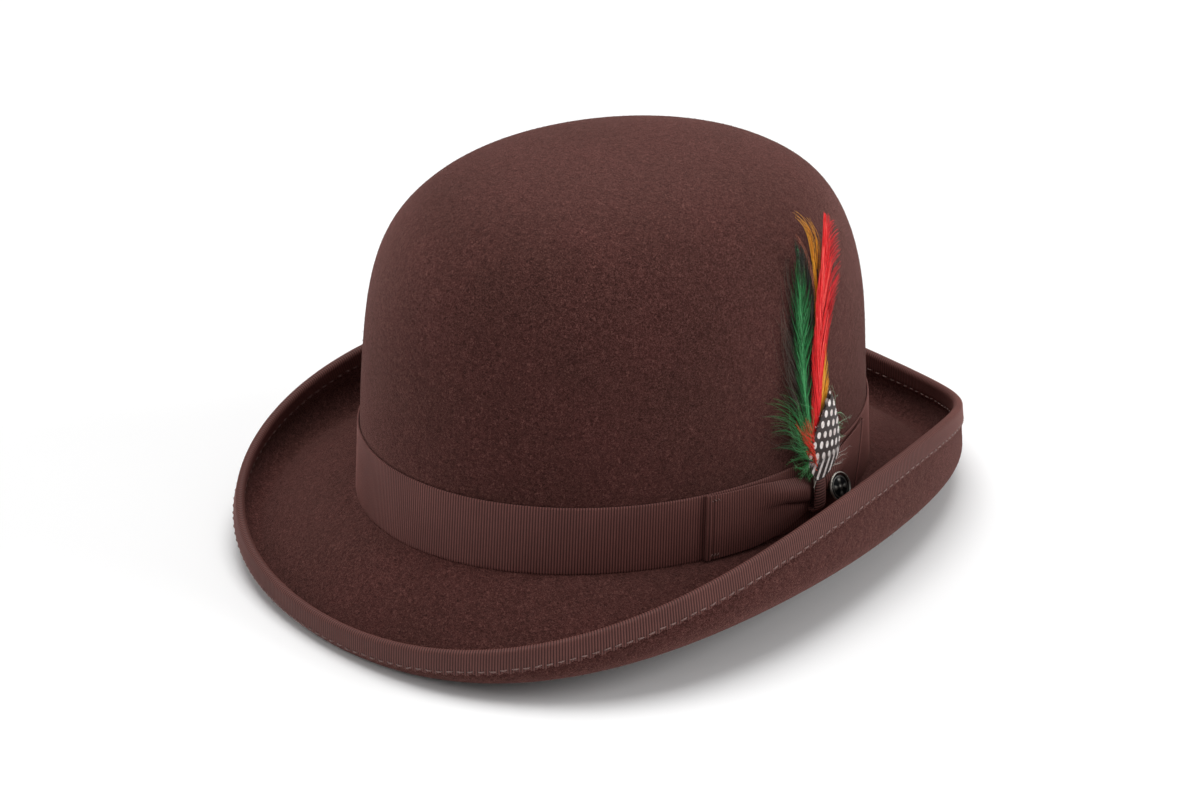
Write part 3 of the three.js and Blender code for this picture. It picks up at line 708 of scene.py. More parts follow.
# ---- hat band ----
def hat_band():
    per_rib = 4
    line = lambda a: wall_point(a, 14, 0.9)
    ribs = int(round(even_angles(line, 4)[1] / RIB))
    a, _ = even_angles(line, ribs * per_rib)
    crest = rib_row(per_rib, ribs)[:, None]
    heights = np.array([1.6, 1.75, 2.3, 5, 9, 14, 19, 24, 27.4, 28.0, 28.2])
    lift = np.array([0.5, 0.78, 0.86, 0.84, 0.82, 0.82, 0.82, 0.84, 0.86, 0.8, 0.5])
    edge = np.zeros(len(heights))
    edge[[0, 1, -2, -1]] = [-0.14, -0.14, 0.14, 0.14]
    sway = 0.12 * np.sin(3 * a + 0.4)[:, None] * smoothstep(heights, 14, 28)
    outer = wall_point(a[:, None], heights + edge * crest + sway, lift + 0.1 * crest)
    inner = wall_point(a[:, None], heights[::-2] + sway[:, ::-2], 0.3)
    points = np.concatenate([outer, inner], 1)
    # Painted shade in the grooves between the ribs and painted highlight on their crests.
    groove_shade = np.repeat(0.5 - 0.5 * crest, points.shape[1], 1)
    band = closed_grid("ribbon_band", points, True, True, {"groove_shade": groove_shade.ravel()})
    finish_piece(band, "hat", "ribbon", RIBBON, "hat_band")
    return band


# ---- bow ----
def fold_section(top, bottom, fold, overlap, bulge, folded):
    """Across one wing: (height, offset) points down the front, under the pleat and down behind it."""
    face = top - fold
    pleat = [
        (top, 1.9), (top - 0.18 * face, 2.5 + 0.5 * bulge), (top - 0.45 * face, 2.8 + bulge),
        (top - 0.75 * face, 2.9 + 0.9 * bulge), (fold + 0.5, 2.9 + 0.4 * bulge), (fold, 2.6 + 0.1 * bulge),
        (fold + 0.6, 2.2), (fold + overlap * 0.6, 2.05), (fold + overlap, 1.85),
        (fold + overlap * 0.6, 1.65), (fold - 0.8, 1.6), ((fold + bottom) / 2, 1.75 + 0.25 * bulge),
        (bottom + 1.2, 1.9), (bottom, 1.75),
    ]
    pleat = np.array(pleat)
    share = np.linspace(0, 1, len(pleat))
    plain = np.stack([top + (bottom - top) * share,
        np.full(len(share), 2.1) + 0.25 * np.sin(math.pi * share)], -1)
    return smooth_line(plain + (pleat - plain) * folded, 60)


def wing(name, node, degrees, tops, bottoms, folds, tilt):
    """A flat ribbon loop: its back lies on the band, its front is pleated towards the knot."""
    end, knot = degrees
    run = abs(knot - end) * WALL_PER_DEGREE
    rows, width = int(run / RIB * 4), BAND_TOP - BAND_BOTTOM - 0.2
    grid, crest = [], []
    back_rows = 40
    for i in range(back_rows):
        share = 1 - i / (back_rows - 1)
        top = np.interp(share, *np.array(tops).T) - 1.0 * min(1, 6 * share)
        bottom = np.interp(share, *np.array(bottoms).T) + 1.0 * min(1, 6 * share)
        section = np.stack([np.linspace(top, bottom, 60), np.full(60, 1.35)], -1)
        grid.append((end + (knot - end) * share, section))
        crest.append(0.0)
    for turn in np.linspace(0.1, 0.9, 7) * math.pi:
        section = np.stack([np.linspace(28.3, 2.0, 60), np.full(60, 1.75 - 0.4 * math.cos(turn))], -1)
        grid.append((end - 0.28 * math.sin(turn) * np.sign(knot - end), section))
        crest.append(0.0)
    for i in range(rows + 1):
        share = i / rows
        s = share * run
        top, bottom, fold = (np.interp(share, *np.array(t).T) for t in (tops, bottoms, folds))
        folded = smoothstep(share, 0.24, 0.8)
        overlap = max(0.4, (width - (top - bottom)) / 2)
        bulge = 1.7 * smoothstep(share, 0.25, 0.7) - 1.7 * smoothstep(share, 0.84, 0.97)
        section = fold_section(top, bottom, fold, overlap, bulge, folded)
        hem = 0.42 * math.exp(-(((s - 0.7) / 0.6) ** 2)) - 0.3 * math.exp(-(((s - 1.9) / 0.35) ** 2))
        section[:, 1] += hem
        grid.append((end + (knot - end) * share, section))
        crest.append(math.cos(s / RIB * TURN))
    crest = np.array(crest)
    angles = np.array([g[0] for g in grid])[:, None]
    section = np.stack([g[1] for g in grid])
    lean = tilt * (section[..., 0] - 15.2) / WALL_PER_DEGREE
    share = np.abs(angles - knot) / abs(knot - end)
    angles = angles + lean * smoothstep(share, 0.0, 0.5)
    front = np.arange(len(grid))[:, None] >= back_rows + 7
    ripple = 0.1 * crest[:, None] * front
    place = wall_point(np.radians(angles), section[..., 0], section[..., 1])
    body = sheet_body(place, 0.22 + ripple)
    # Painted shade in the grooves between the ribs and painted highlight on their crests; the rows lying on
    # the band get an even middle value.
    groove_shade = np.repeat((0.5 - 0.5 * crest)[:, None], body.shape[1], 1)
    obj = closed_ribbon(name, body, {"groove_shade": groove_shade.ravel()})
    finish_piece(obj, "hat", "ribbon", RIBBON, node)
    return obj


def closed_ribbon(name, body, attributes):
    """A strip whose section closes on itself, with both ends filled across."""
    u, v = body.shape[:2]
    faces = grid_faces(u, v, False, True)
    flip = volume(body - body.mean((0, 1)), faces) < 0
    faces = (faces[:, ::-1] if flip else faces).tolist()
    half = v // 2
    for row, turn in ((0, flip), (u - 1, not flip)):
        for j in range(half - 1):
            q = [row * v + j, row * v + j + 1, row * v + v - 2 - j, row * v + v - 1 - j]
            faces.append(q if not turn else q[::-1])
    return make_mesh(name, body, faces, attributes)


def bow_wings():
    wing(
        "bow_loop_front", "bow_front_wing", (-15.6, 13.0),
        [(0, 28.2), (0.25, 27.8), (0.42, 27.5), (0.6, 26.2), (0.77, 24.4), (0.92, 21.6), (1, 20.0)],
        [(0, 1.9), (0.4, 2.2), (0.6, 3.4), (0.77, 5.4), (0.92, 8.2), (1, 9.4)],
        [(0, 15.0), (0.45, 16.2), (0.68, 16.0), (0.85, 13.6), (1, 11.4)], 0.0,
    )
    wing(
        "bow_loop_rear", "bow_rear_wing", (33.0, 12.0),
        [(0, 28.2), (0.4, 27.2), (0.6, 26.0), (0.77, 24.2), (0.92, 21.8), (1, 20.2)],
        [(0, 1.9), (0.4, 2.6), (0.6, 3.8), (0.77, 5.6), (0.92, 8.2), (1, 9.4)],
        [(0, 15.0), (0.45, 15.6), (0.68, 14.6), (0.85, 13.0), (1, 11.6)], 0.42,
    )


def strap():
    path = smooth_line(
        [(1.5, 9.3), (2.9, 8.5), (4.7, 8.4), (5.7, 9.8), (5.95, 12.5), (6.1, 16), (6.15, 19.4), (6.1, 21.0),
         (6.05, 21.9)],
        96,
    )
    across = np.linspace(-1, 1, 15)
    crest = np.cos(np.arange(96) / 6.4 * TURN)
    pinch = 1 - 0.16 * np.exp(-(((path[:, 1] - 21) / 3.5) ** 2))
    angle = np.radians(12.6 + 3.1 / WALL_PER_DEGREE * across[None, :] * pinch[:, None] - 0.02 * path[:, 1:2])
    offset = path[:, :1] - 0.9 * np.abs(across[None, :]) ** 3.5
    place = wall_point(angle, path[:, 1:2] + 0 * across, offset)
    body = sheet_body(place, 0.26 + 0.2 * crest[:, None] + 0 * across[None, :])
    # Painted shade in the grooves between the ribs and painted highlight on their crests.
    groove_shade = np.repeat((0.5 - 0.5 * crest)[:, None], body.shape[1], 1)
    obj = closed_ribbon("bow_strap", body, {"groove_shade": groove_shade.ravel()})
    finish_piece(obj, "hat", "ribbon", RIBBON, "bow_knot")
    return obj


def dashes(name, ends, slot, material):
    """Short hand stitches between pairs of (degrees, height, offset) places on the crown wall."""
    steps, radius, rise = 7, 0.16, 0.35
    t = np.linspace(0, 1, steps)[None, :, None]
    ends = np.array(ends, float)
    p = ends[:, :1] * (1 - t) + ends[:, 1:] * t
    lines = wall_point(np.radians(p[..., 0]), p[..., 1], p[..., 2] + rise * np.sin(math.pi * t[..., 0]))
    widths = np.tile(radius * (0.5 + 0.5 * np.sin(math.pi * t[0, :, 0])), (len(ends), 1))
    obj = tubes(name, lines, widths, outward(np.radians(p[..., 0])), flat=1.0, sides=6)
    return finish_piece(obj, "hat", slot, material)


def corner_stitches():
    ends = []
    for base, step in ((26.6, -1), (3.4, 1)):
        for i in range(3):
            at = -15.0 + 0.75 * i
            ends.append([(at, base, 2.4), (at + 0.55, base + 0.9 * step, 2.4)])
    return dashes("bow_corner_stitches", ends, "thread", THREAD)


# ---- button ----
BUTTON = dict(angle=18.0, height=14.0, lift=6.8, radius=5.9, tilt=23.0, turn=10.0)


def lathe(name, profile, middle, axis, relief, ripple=None, sides=96):
    """Turns a closed profile of (along, radius) about an axis. ripple adds a raised pattern."""
    axis = Vector(axis).normalized()
    turn = np.array(Vector((0, 0, 1)).rotation_difference(axis).to_matrix())
    a = np.arange(sides) / sides * TURN
    along, radius = np.array(profile, float).T
    height = np.broadcast_to(along, (sides, len(along))).copy()
    mark = np.broadcast_to(np.array(relief, float), height.shape).copy()
    if ripple is not None:
        extra = ripple(a[:, None], radius[None, :])
        height += extra
        mark += extra * 2.5
    local = np.stack([radius * np.cos(a)[:, None], radius * np.sin(a)[:, None], height], -1)
    points = local @ turn.T + np.asarray(middle, float)
    return closed_grid(name, points, True, False, {"relief": mark.ravel()}, tips=True)


def button():
    b = BUTTON
    middle = wall_point(math.radians(b["angle"]), b["height"], b["lift"])
    tilt, turn = math.radians(b["tilt"]), math.radians(b["turn"])
    axis = (math.cos(tilt) * math.cos(turn), math.cos(tilt) * math.sin(turn), math.sin(tilt))
    r = b["radius"]
    bend = np.linspace(0, TURN, 25)[:-1]
    ring = [(0.05 + 0.8 * math.sin(t), r - 0.48 + 0.48 * math.cos(t)) for t in bend]
    turned = np.array(Vector((0, 0, 1)).rotation_difference(Vector(axis)).to_matrix())
    a = np.arange(96) / 96 * TURN
    along, radius = np.array(ring).T
    local = np.stack(
        [radius * np.cos(a)[:, None], radius * np.sin(a)[:, None],
            np.broadcast_to(along, (96, len(ring)))], -1
    )
    rope = 0.10 * np.cos(30 * a[:, None] + 4 * bend[None, :])
    local[..., 2] += rope * np.maximum(0, np.sin(bend))[None, :]
    points = local @ turned.T + middle
    mark = np.broadcast_to(0.45 + 0.45 * np.sin(bend) + rope * 1.4, points.shape[:2])
    rim = closed_grid("button_ring", points, True, True, {"relief": mark.ravel()})
    finish_piece(rim, "hat", "pewter", PEWTER, "button_rim")
    radii = np.concatenate([[0.05], np.linspace(0.3, r - 1.3, 30), [r - 1.26, r - 1.3, 0.05]])
    face_r = r - 1.3
    top = 0.18 + 0.35 * (1 - (radii / face_r) ** 2)
    top[-3:] = [0.05, -0.8, -0.85]

    def petals(angle, radius):
        leaf = np.exp(-(((radius - 2.5) / 0.95) ** 2)) * np.maximum(0, np.cos(4 * angle)) ** 0.8
        boss = np.exp(-((radius / 0.8) ** 2))
        hoop = np.exp(-(((radius - 4.0) / 0.22) ** 2))
        extra = 0.26 * leaf + 0.30 * boss + 0.16 * hoop
        extra[:, -3:] = 0
        return extra

    face = lathe("button_disc", list(zip(top, radii)), middle, axis, np.full(len(radii), 0.1), petals)
    finish_piece(face, "hat", "dark_metal", BLACKENED, "button_face")
    seat = wall_point(math.radians(b["angle"]), b["height"], 0)
    shank = [(2.2, 0.05), (2.2, 1.9), (2.7, 2.0), (3.0, 1.4), (5.0, 1.3), (5.4, 1.6), (5.4, 0.05)]
    post = lathe("button_post", shank, seat, outward(np.radians(b["angle"])), np.full(7, 0.4), sides=40)
    finish_piece(post, "hat", "pewter", PEWTER, "button_shank")


# ---- feathers ----
def line_at(knots, up):
    knots = np.asarray(knots, float)
    return np.interp(up, knots[:, 1], knots[:, 0])


def vane(name, node, slot, material, shaft, left, right, lift, count, reach, half, seed, jitter=0.5,
         tone=(0.25, 0.6), edge_tone=0.0, streaks=0.12, tip_tone=0.0):
    """A feather's web: barbs leave the shaft and run up and out to the outline on each side.
    shaft, left and right are (across, up) lines from low to high."""
    rng = np.random.default_rng(seed)
    low, high = shaft[0][1], shaft[-1][1]
    steps = 9
    t = np.linspace(0, 1, steps)[None, :]
    lines, widths, tones, ups, acrosses = [], [], [], [], []
    for outline in (left, right):
        at = low + (high - low) * np.sort(rng.random(count)) ** 0.95
        start_x = line_at(shaft, at)
        length = reach * (0.75 + 0.5 * rng.random(count)) * np.clip((high - at) / (0.3 * reach), 0.25, 1)
        top = np.minimum(at + length, outline[-1][1] + rng.normal(0, jitter, count))
        top = np.maximum(top, at + 1.0)
        spread = 0.35 + 0.65 * rng.random(count) ** 0.5
        edge = line_at(outline, top)
        mid = line_at(shaft, np.minimum(top, high))
        end_x = mid + (edge - mid) * spread + rng.normal(0, jitter, count) * 0.4
        u = at[:, None] + (top - at)[:, None] * t
        bend = t**1.6
        x = start_x[:, None] * (1 - bend) + end_x[:, None] * bend
        drift = line_at(shaft, np.minimum(u, high)) - (start_x[:, None] * (1 - t) + mid[:, None] * t)
        x = x + drift * (1 - t) * 0.8
        z = lift + rng.normal(0, 0.12, count)[:, None] + 0.25 * (1 - t) - 0.1 * t
        lines.append(spray_point(x, u, z))
        widths.append(half * (0.75 + 0.5 * rng.random(count))[:, None] * (1 - 0.85 * t**3)
            * (0.6 + 0.4 * t ** 0.3))
        base = tone[0] + (tone[1] - tone[0]) * rng.random(count)
        base = np.where(rng.random(count) < streaks, 0.95, base)
        shade = base[:, None] + edge_tone * (spread[:, None] * t) + tip_tone * smoothstep(u, high - 22, high)
        tones.append(shade)
        ups.append(u)
        acrosses.append(x)
    steps_up = np.linspace(low, high, steps)
    for dx in (-0.18, 0.18):
        lines.append(spray_point(line_at(shaft, steps_up) + dx, steps_up, lift + 0.3)[None])
        widths.append((0.34 * (1 - 0.8 * np.linspace(0, 1, steps) ** 1.5))[None])
        tones.append(np.full((1, steps), tone[1] + 0.15))
        ups.append(steps_up[None])
        acrosses.append(line_at(shaft, steps_up)[None])
    lines, widths = np.concatenate(lines), np.concatenate(widths)
    attributes = {
        "tone": np.concatenate(tones),
        "up": np.concatenate(ups),
        "across": np.concatenate(acrosses),
    }
    obj = tubes(name, lines, widths, SPRAY_OUT, attributes, flat=0.28)
    return finish_piece(obj, "feather_spray", slot, material, node)


def whiskers(name, node, slot, material, roots, ends, lift, count, half, seed, curl=1.0, barbules=0,
    spread=1.5,
             tone=(0.2, 0.8), barbule_length=2.5, lifts=0.6):
    """Loose barbs from a line of roots to a set of ends, with hair-like barbules along them."""
    rng = np.random.default_rng(seed)
    steps = 12
    t = np.linspace(0, 1, steps)[None, :]
    ends, roots = np.array(ends, float), np.array(roots, float)
    pick = np.arange(count) % len(ends)
    share = rng.random(count)
    root = roots[0] + (roots[-1] - roots[0]) * (0.6 * pick / max(1, len(ends) - 1) + 0.4 * share)[:, None]
    end = root + (ends[pick] - root) * (0.55 + 0.5 * rng.random(count))[:, None]
    end = end + rng.normal(0, spread, (count, 2))
    way = end - root
    normal = np.stack([-way[:, 1], way[:, 0]], -1)
    bow = rng.normal(0, 0.12, count) * curl
    wave = rng.normal(0, 0.03, count) * curl
    swing = bow[:, None] * np.sin(math.pi * t) + wave[:, None] * np.sin(3 * math.pi * t) * t
    p = root[:, None] + way[:, None] * t[..., None] + normal[:, None] * swing[..., None]
    z = lift + rng.normal(0, 0.3, count)[:, None] + (rng.random(count)[:, None] * lifts) * t
    lines = [spray_point(p[..., 0], p[..., 1], z)]
    widths = [half * (0.7 + 0.6 * rng.random(count))[:, None] * (1 - 0.8 * t)]
    base = tone[0] + (tone[1] - tone[0]) * rng.random(count)
    tones = [np.broadcast_to(base[:, None] + 0.25 * t, (count, steps))]
    if barbules:
        n = count * barbules
        which = np.repeat(np.arange(count), barbules)
        at = 0.12 + 0.85 * rng.random(n)
        i = at * (steps - 1)
        lo = np.floor(i).astype(int)
        f = (i - lo)[:, None]
        hi = np.minimum(lo + 1, steps - 1)
        start = p[which, lo] * (1 - f) + p[which, hi] * f
        zs = z[which, lo]
        direction = p[which, hi] - p[which, lo]
        direction /= np.maximum(np.linalg.norm(direction, axis=-1, keepdims=True), 1e-6)
        turn = np.where(rng.random(n) < 0.5, 1, -1) * np.radians(22 + 40 * rng.random(n))
        c, s = np.cos(turn), np.sin(turn)
        ray = np.stack([direction[:, 0] * c - direction[:, 1] * s,
            direction[:, 0] * s + direction[:, 1] * c], -1)
        long = barbule_length * (0.4 + 0.8 * rng.random(n)) * (1.1 - 0.6 * at)
        tt = np.linspace(0, 1, steps)[None, :, None]
        q = start[:, None] + ray[:, None] * long[:, None, None] * tt
        q = q + direction[:, None] * (long[:, None, None] * 0.3 * tt**2)
        zq = zs[:, None] + rng.normal(0, 0.5, n)[:, None] * tt[..., 0] + 0.1
        lines.append(spray_point(q[..., 0], q[..., 1], zq))
        widths.append(0.045 * (1 - 0.7 * tt[..., 0]) * np.ones((n, 1)))
        tones.append(np.repeat(base[which][:, None] + 0.2, steps, 1))
    lines, widths, tones = (np.concatenate(v) for v in (lines, widths, tones))
    obj = tubes(name, lines, widths, SPRAY_OUT, {"tone": tones}, flat=0.6)
    return finish_piece(obj, "feather_spray", slot, material, *((node,) if node else ()))


def fringe(name, node, slot, material, roots, ends, lift, count, half, seed, bend=0.1, jitter=0.4,
           tone=(0.3, 0.8), tip_tone=0.2, short=0.12, lifts=0.6):
    """Free barbs in order: each leaves a line of roots and curves out to a line of ends."""
    rng = np.random.default_rng(seed)
    steps = 12
    t = np.linspace(0, 1, steps)[None, :, None]
    roots, ends = np.array(roots, float), np.array(ends, float)
    share = np.sort(rng.random(count))
    share = share + 0.012 * np.sin(share * TURN * count / 7)
    follow = lambda line: np.stack([np.interp(share, np.linspace(0, 1, len(line)),
        line[:, k]) for k in (0, 1)], -1)
    root = follow(roots) + rng.normal(0, 0.15, (count, 2))
    way = follow(ends) + rng.normal(0, jitter, (count, 2)) - root
    way = way * (1 - short * rng.random((count, 1)) ** 2)
    side = np.stack([way[:, 1], -way[:, 0]], -1) * (bend * (0.7 + 0.6 * rng.random((count, 1))))
    p = root[:, None] + way[:, None] * t + side[:, None] * (4 * t * (1 - t) * (0.6 + 0.8 * t))
    z = lift + rng.normal(0, 0.15, (count, 1)) + lifts * rng.random((count, 1)) * t[..., 0]
    widths = half * (0.75 + 0.5 * rng.random((count, 1))) * (1 - 0.8 * t[..., 0] ** 1.5)
    base = tone[0] + (tone[1] - tone[0]) * rng.random((count, 1))
    obj = tubes(
        name, spray_point(p[..., 0], p[..., 1], z), widths, SPRAY_OUT,
        {"tone": base + tip_tone * t[..., 0]}, flat=0.5
    )
    return finish_piece(obj, "feather_spray", slot, material, *((node,) if node else ()))


def feathers():
    layer = lambda n: FIRST_LIFT + n * LAYER
    vane(
        "red_feather", "red_hackle", "red_feather", RED,
        [(-8.2, 24), (-8, 34), (-6.5, 50), (-5.5, 62), (-3, 76), (1, 88), (5.5, 98), (10.5, 107),
            (15, 116.4)],
        [(-9, 24), (-11.5, 40), (-11, 46), (-10, 60), (-8, 74), (-4, 84), (-1, 93), (4, 101), (10, 109),
            (15, 116.8)],
        [(-7, 24), (-6, 49), (-3, 60), (0, 70), (4, 78), (7, 88), (12, 98), (15.5, 109), (15.3, 116.6)],
        layer(4), 330, 26, 0.34, 21, jitter=0.35, tone=(0.3, 0.62), streaks=0.16,
    )
    vane(
        "crimson_feather", "red_hackle_rear", "red_feather", CRIMSON,
        [(-3, 24), (-2.6, 50), (1, 76), (6, 90), (12, 103), (17, 112)],
        [(-3.5, 24), (-3.5, 50), (0, 76), (4, 92), (9, 104), (15, 113)],
        [(-2, 24), (-1, 50), (5, 78), (11, 86), (17, 94), (20, 103), (22, 110), (20, 114)],
        layer(2) + 0.3, 120, 17, 0.2, 22, jitter=0.9, tone=(0.35, 0.8), streaks=0.1,
    )
    vane(
        "yellow_feather", "yellow_hackle", "yellow_feather", YELLOW,
        [(-5, 24), (-4, 46), (-2, 58), (0, 66), (1.3, 73)],
        [(-5.5, 24), (-6, 48), (-5, 53), (-2, 64), (0.5, 73)],
        [(-4.5, 24), (1.6, 48), (2.8, 56), (2.4, 66), (1.8, 73.5)],
        layer(3), 110, 16, 0.28, 23, jitter=0.25, tone=(0.25, 0.65),
    )
    vane(
        "green_feather", "green_hackle", "green_feather", GREEN,
        [(-7.5, 24), (-11, 44), (-13.5, 60), (-13, 74), (-11, 88), (-8, 100), (-5.5, 111)],
        [(-8, 24), (-14, 52), (-16.2, 64), (-16.4, 76), (-14.4, 87), (-10.5, 99), (-6.4, 107), (-5.2, 112)],
        [(-7, 24), (-11, 55), (-11.2, 64), (-8.6, 74), (-6, 84), (-4.2, 94), (-3.6, 104), (-5, 112)],
        layer(3), 240, 14, 0.24, 24, jitter=1.3, tone=(0.34, 0.86), edge_tone=-0.2, tip_tone=-0.6,
        streaks=0.04,
    )
    vane(
        "dark_feather", "dark_hackle", "dark_feather", DARK,
        [(-9, 25), (-12, 48), (-12, 66), (-8, 84), (-4.5, 98), (-2.5, 107)],
        [(-9.5, 25), (-15, 48), (-17.5, 66), (-18, 80), (-16, 94), (-10, 104), (-4, 109)],
        [(-8.5, 25), (-11, 48), (-7, 66), (-2, 84), (0, 96), (1, 104), (-1, 110)],
        layer(2), 150, 20, 0.2, 25, jitter=1.1, tone=(0.0, 0.45), edge_tone=0.05,
    )
    vane(
        "guinea_web", "guinea_feather", "dotted_feather", GUINEA,
        [(-8, 22.5), (-5.5, 30), (-3.2, 38), (-1.4, 46), (-0.4, 54.5)],
        [(-9.5, 22.5), (-13.5, 27), (-14.4, 32), (-12.6, 39), (-7.4, 48), (-1.4, 54.5)],
        [(-6.5, 22.5), (-1.5, 24), (6, 28), (7, 34), (4.4, 44), (0.6, 54.5)],
        layer(5) - 0.1, 300, 11, 0.3, 26, jitter=0.3, tone=(0.2, 0.75), streaks=0.0,
    )
    guinea_sheet(layer(5) + 0.45)
    fringe(
        "ginger_feather", "ginger_hackle", "ginger_feather", GINGER,
        [(3.2, 103), (3.4, 104), (3.8, 104), (4.2, 103), (4.6, 101), (5, 99), (5.3, 95)],
        [(-1.6, 122.2), (0, 121.2), (1.6, 120.3), (3, 119.6), (4.4, 118.8), (5.6, 117.6), (6.8, 115)],
        layer(1) + 0.4, 32, 0.15, 27, bend=0.14, jitter=0.6, tone=(0.15, 0.8), tip_tone=0.3, short=0.35,
        lifts=1.2,
    )
    fringe(
        "ginger_shaft_barbs", None, "ginger_feather", GINGER,
        [(-5, 26), (-4, 40), (-3, 56), (0, 70), (1.5, 84)],
        [(-1, 60), (1, 76), (2.6, 100), (4.4, 106), (5.6, 110)],
        layer(1) + 0.2, 60, 0.26, 28, bend=-0.02, jitter=0.5, tone=(0.35, 0.75), lifts=0.3,
    )
    fringe(
        "salmon_barbs", None, "dark_feather", SALMON, [(0.2, 86), (1.2, 92), (2.0, 98)],
        [(-0.6, 105), (-1.6, 110), (-2.6, 114), (-3.2, 117)],
        layer(1) + 0.3, 12, 0.14, 41, bend=0.06, jitter=0.3, tone=(0.3, 0.9), tip_tone=0.1,
    )
    fringe(
        "crimson_barbs", None, "red_feather", CRIMSON,
        [(-0.5, 60), (1.5, 72), (4.5, 82), (8, 90), (11, 99), (14, 107), (15.5, 112)],
        [(4.5, 78), (8, 83), (14, 89), (18.5, 95), (20.8, 102), (22.4, 109), (21.5, 113)],
        layer(2) + 0.5, 110, 0.2, 42, bend=-0.07, jitter=0.5, tone=(0.25, 0.7), tip_tone=0.1, lifts=0.8,
    )
    fringe(
        "green_left_barbs", None, "green_feather", GREEN,
        [(-9.5, 40), (-12, 52), (-13.8, 64), (-13.4, 76), (-11.4, 88), (-9, 98)],
        [(-14, 52), (-17.2, 66), (-17.6, 78), (-15.6, 90), (-12, 102), (-7, 110)],
        layer(3) + 0.1, 56, 0.22, 46, bend=-0.05, jitter=0.9, tone=(0.2, 0.7), tip_tone=-0.25, short=0.4,
    )
    fringe(
        "green_right_barbs", None, "green_feather", GREEN,
        [(-10, 44), (-12, 56), (-12, 66), (-11, 76), (-9.4, 86), (-7.4, 96)],
        [(-9.4, 56), (-9.6, 66), (-7, 76), (-4.4, 86), (-2.6, 96), (-3.0, 107)],
        layer(3) + 0.1, 56, 0.22, 47, bend=0.05, jitter=0.9, tone=(0.25, 0.8), tip_tone=-0.3, short=0.4,
    )
    fringe(
        "olive_barbs", None, "dark_feather", HAZE,
        [(-14.5, 48), (-15.5, 62), (-15, 78), (-12, 92)],
        [(-20, 68), (-20.5, 80), (-20, 92), (-17, 104), (-11, 112)],
        layer(2) + 0.4, 54, 0.1, 43, bend=-0.08, jitter=0.7, tone=(0.1, 0.7), lifts=0.9,
    )
    fringe(
        "dark_barbs", None, "dark_feather", DARK,
        [(-8, 70), (-6, 80), (-4.5, 90), (-3.5, 98)], [(-2.5, 88), (-0.6, 96), (0.2, 103), (-0.6, 109)],
        layer(2) + 0.5, 50, 0.2, 44, bend=-0.05, jitter=0.6, tone=(0.0, 0.5),
    )
    fringe(
        "green_wisps", None, "green_down", DOWN,
        [(-12, 30), (-13, 36), (-14, 41), (-14.5, 46)],
        [(-31, 41), (-33, 48), (-35, 56), (-31, 62), (-25, 66)],
        layer(4) + 0.2, 56, 0.12, 45, bend=0.1, jitter=1.4, tone=(0.0, 0.6), tip_tone=-0.1, short=0.5,
        lifts=1.6,
    )
    whiskers(
        "green_down", "green_fluff", "green_down", DOWN, [(-10.5, 25.5), (-13.5, 45)],
        [(-15, 25), (-20, 29), (-24, 35), (-23, 43), (-27, 46), (-28, 53), (-25, 57), (-21, 58),
            (-18, 56), (-15, 52)],
        layer(5) - 0.4, 58, 0.12, 29, curl=1.2, barbules=8, spread=1.4, tone=(0.25, 0.85),
        barbule_length=2.1,
        lifts=1.4,
    )
    whiskers(
        "grey_hairs", None, "dark_feather", HAZE, [(-11, 34), (-15, 60)],
        [(-34, 50), (-35, 58), (-30, 71), (-27, 80), (-26, 90), (-22, 96)], layer(2), 44, 0.07, 30, curl=0.5,
        spread=1.5, tone=(0.0, 0.8), lifts=1.2,
    )
    whiskers(
        "scarlet_down", "red_fluff", "red_feather", SCARLET_DOWN, [(-9, 26), (-12, 44)],
        [(-12, 32), (-15, 37), (-17, 42), (-19, 47), (-21, 51), (-16, 51)],
        layer(5) + 0.3, 64, 0.15, 31, curl=0.6, barbules=5, spread=0.8, tone=(0.35, 0.85),
        barbule_length=1.5,
    )
    whiskers(
        "pale_down", "lime_wisp", "pale_green_down", PALE_DOWN, [(0, 26), (2, 46)],
        [(2, 58), (4, 54), (8, 49), (6, 44), (13, 36), (19, 35), (14, 31), (5, 40)],
        layer(2), 34, 0.13, 32, curl=1.4, barbules=7, spread=1.0, tone=(0.2, 0.9), barbule_length=2.2,
    )
    whiskers(
        "long_hairs", None, "quill", QUILL, [(0, 24), (4, 27)], [(16, 23), (12, 21.5), (8, 31), (18, 25)],
        layer(4), 9, 0.07, 33, curl=1.0, spread=0.5, tone=(0.4, 0.9),
    )


def guinea_sheet(lift):
    """The closed middle of the dotted feather, a thin cupped web between its loose edges."""
    up = np.linspace(23, 54, 90)[:, None]
    left = line_at([(-9.5, 22.5), (-13, 27), (-13.9, 32), (-12.2, 39), (-7.2, 48), (-1.0, 54.5)], up)
    right = line_at([(-6.5, 22.5), (-1.5, 24), (6, 28), (7, 34), (4.4, 44), (0.4, 54.5)], up)
    share = np.linspace(0, 1, 60)[None, :]
    inset = 0.5 + 0.25 * np.sin(up * 5.3)
    x = (left + inset) + (right - left - 2 * inset) * share
    barb = 0.05 * np.cos((up + 0.5 * np.abs(x + 3)) * TURN / 0.7)
    z = lift + 0.5 - 1.1 * (2 * share - 1) ** 2 * ((right - left) / 19) ** 2 + barb
    body = sheet_body(spray_point(x, up, z), 0.06)
    wide = np.concatenate([x, x[:, ::-1]], 1)
    tall = np.broadcast_to(up, wide.shape)
    rng = np.random.default_rng(52)
    tone = np.broadcast_to(0.2 + 0.5 * rng.random((90, 1)), wide.shape)
    marks = {"across": wide.ravel(), "up": tall.ravel(), "tone": tone.ravel()}
    obj = closed_ribbon("guinea_middle", body, marks)
    return finish_piece(obj, "feather_spray", "dotted_feather", GUINEA)


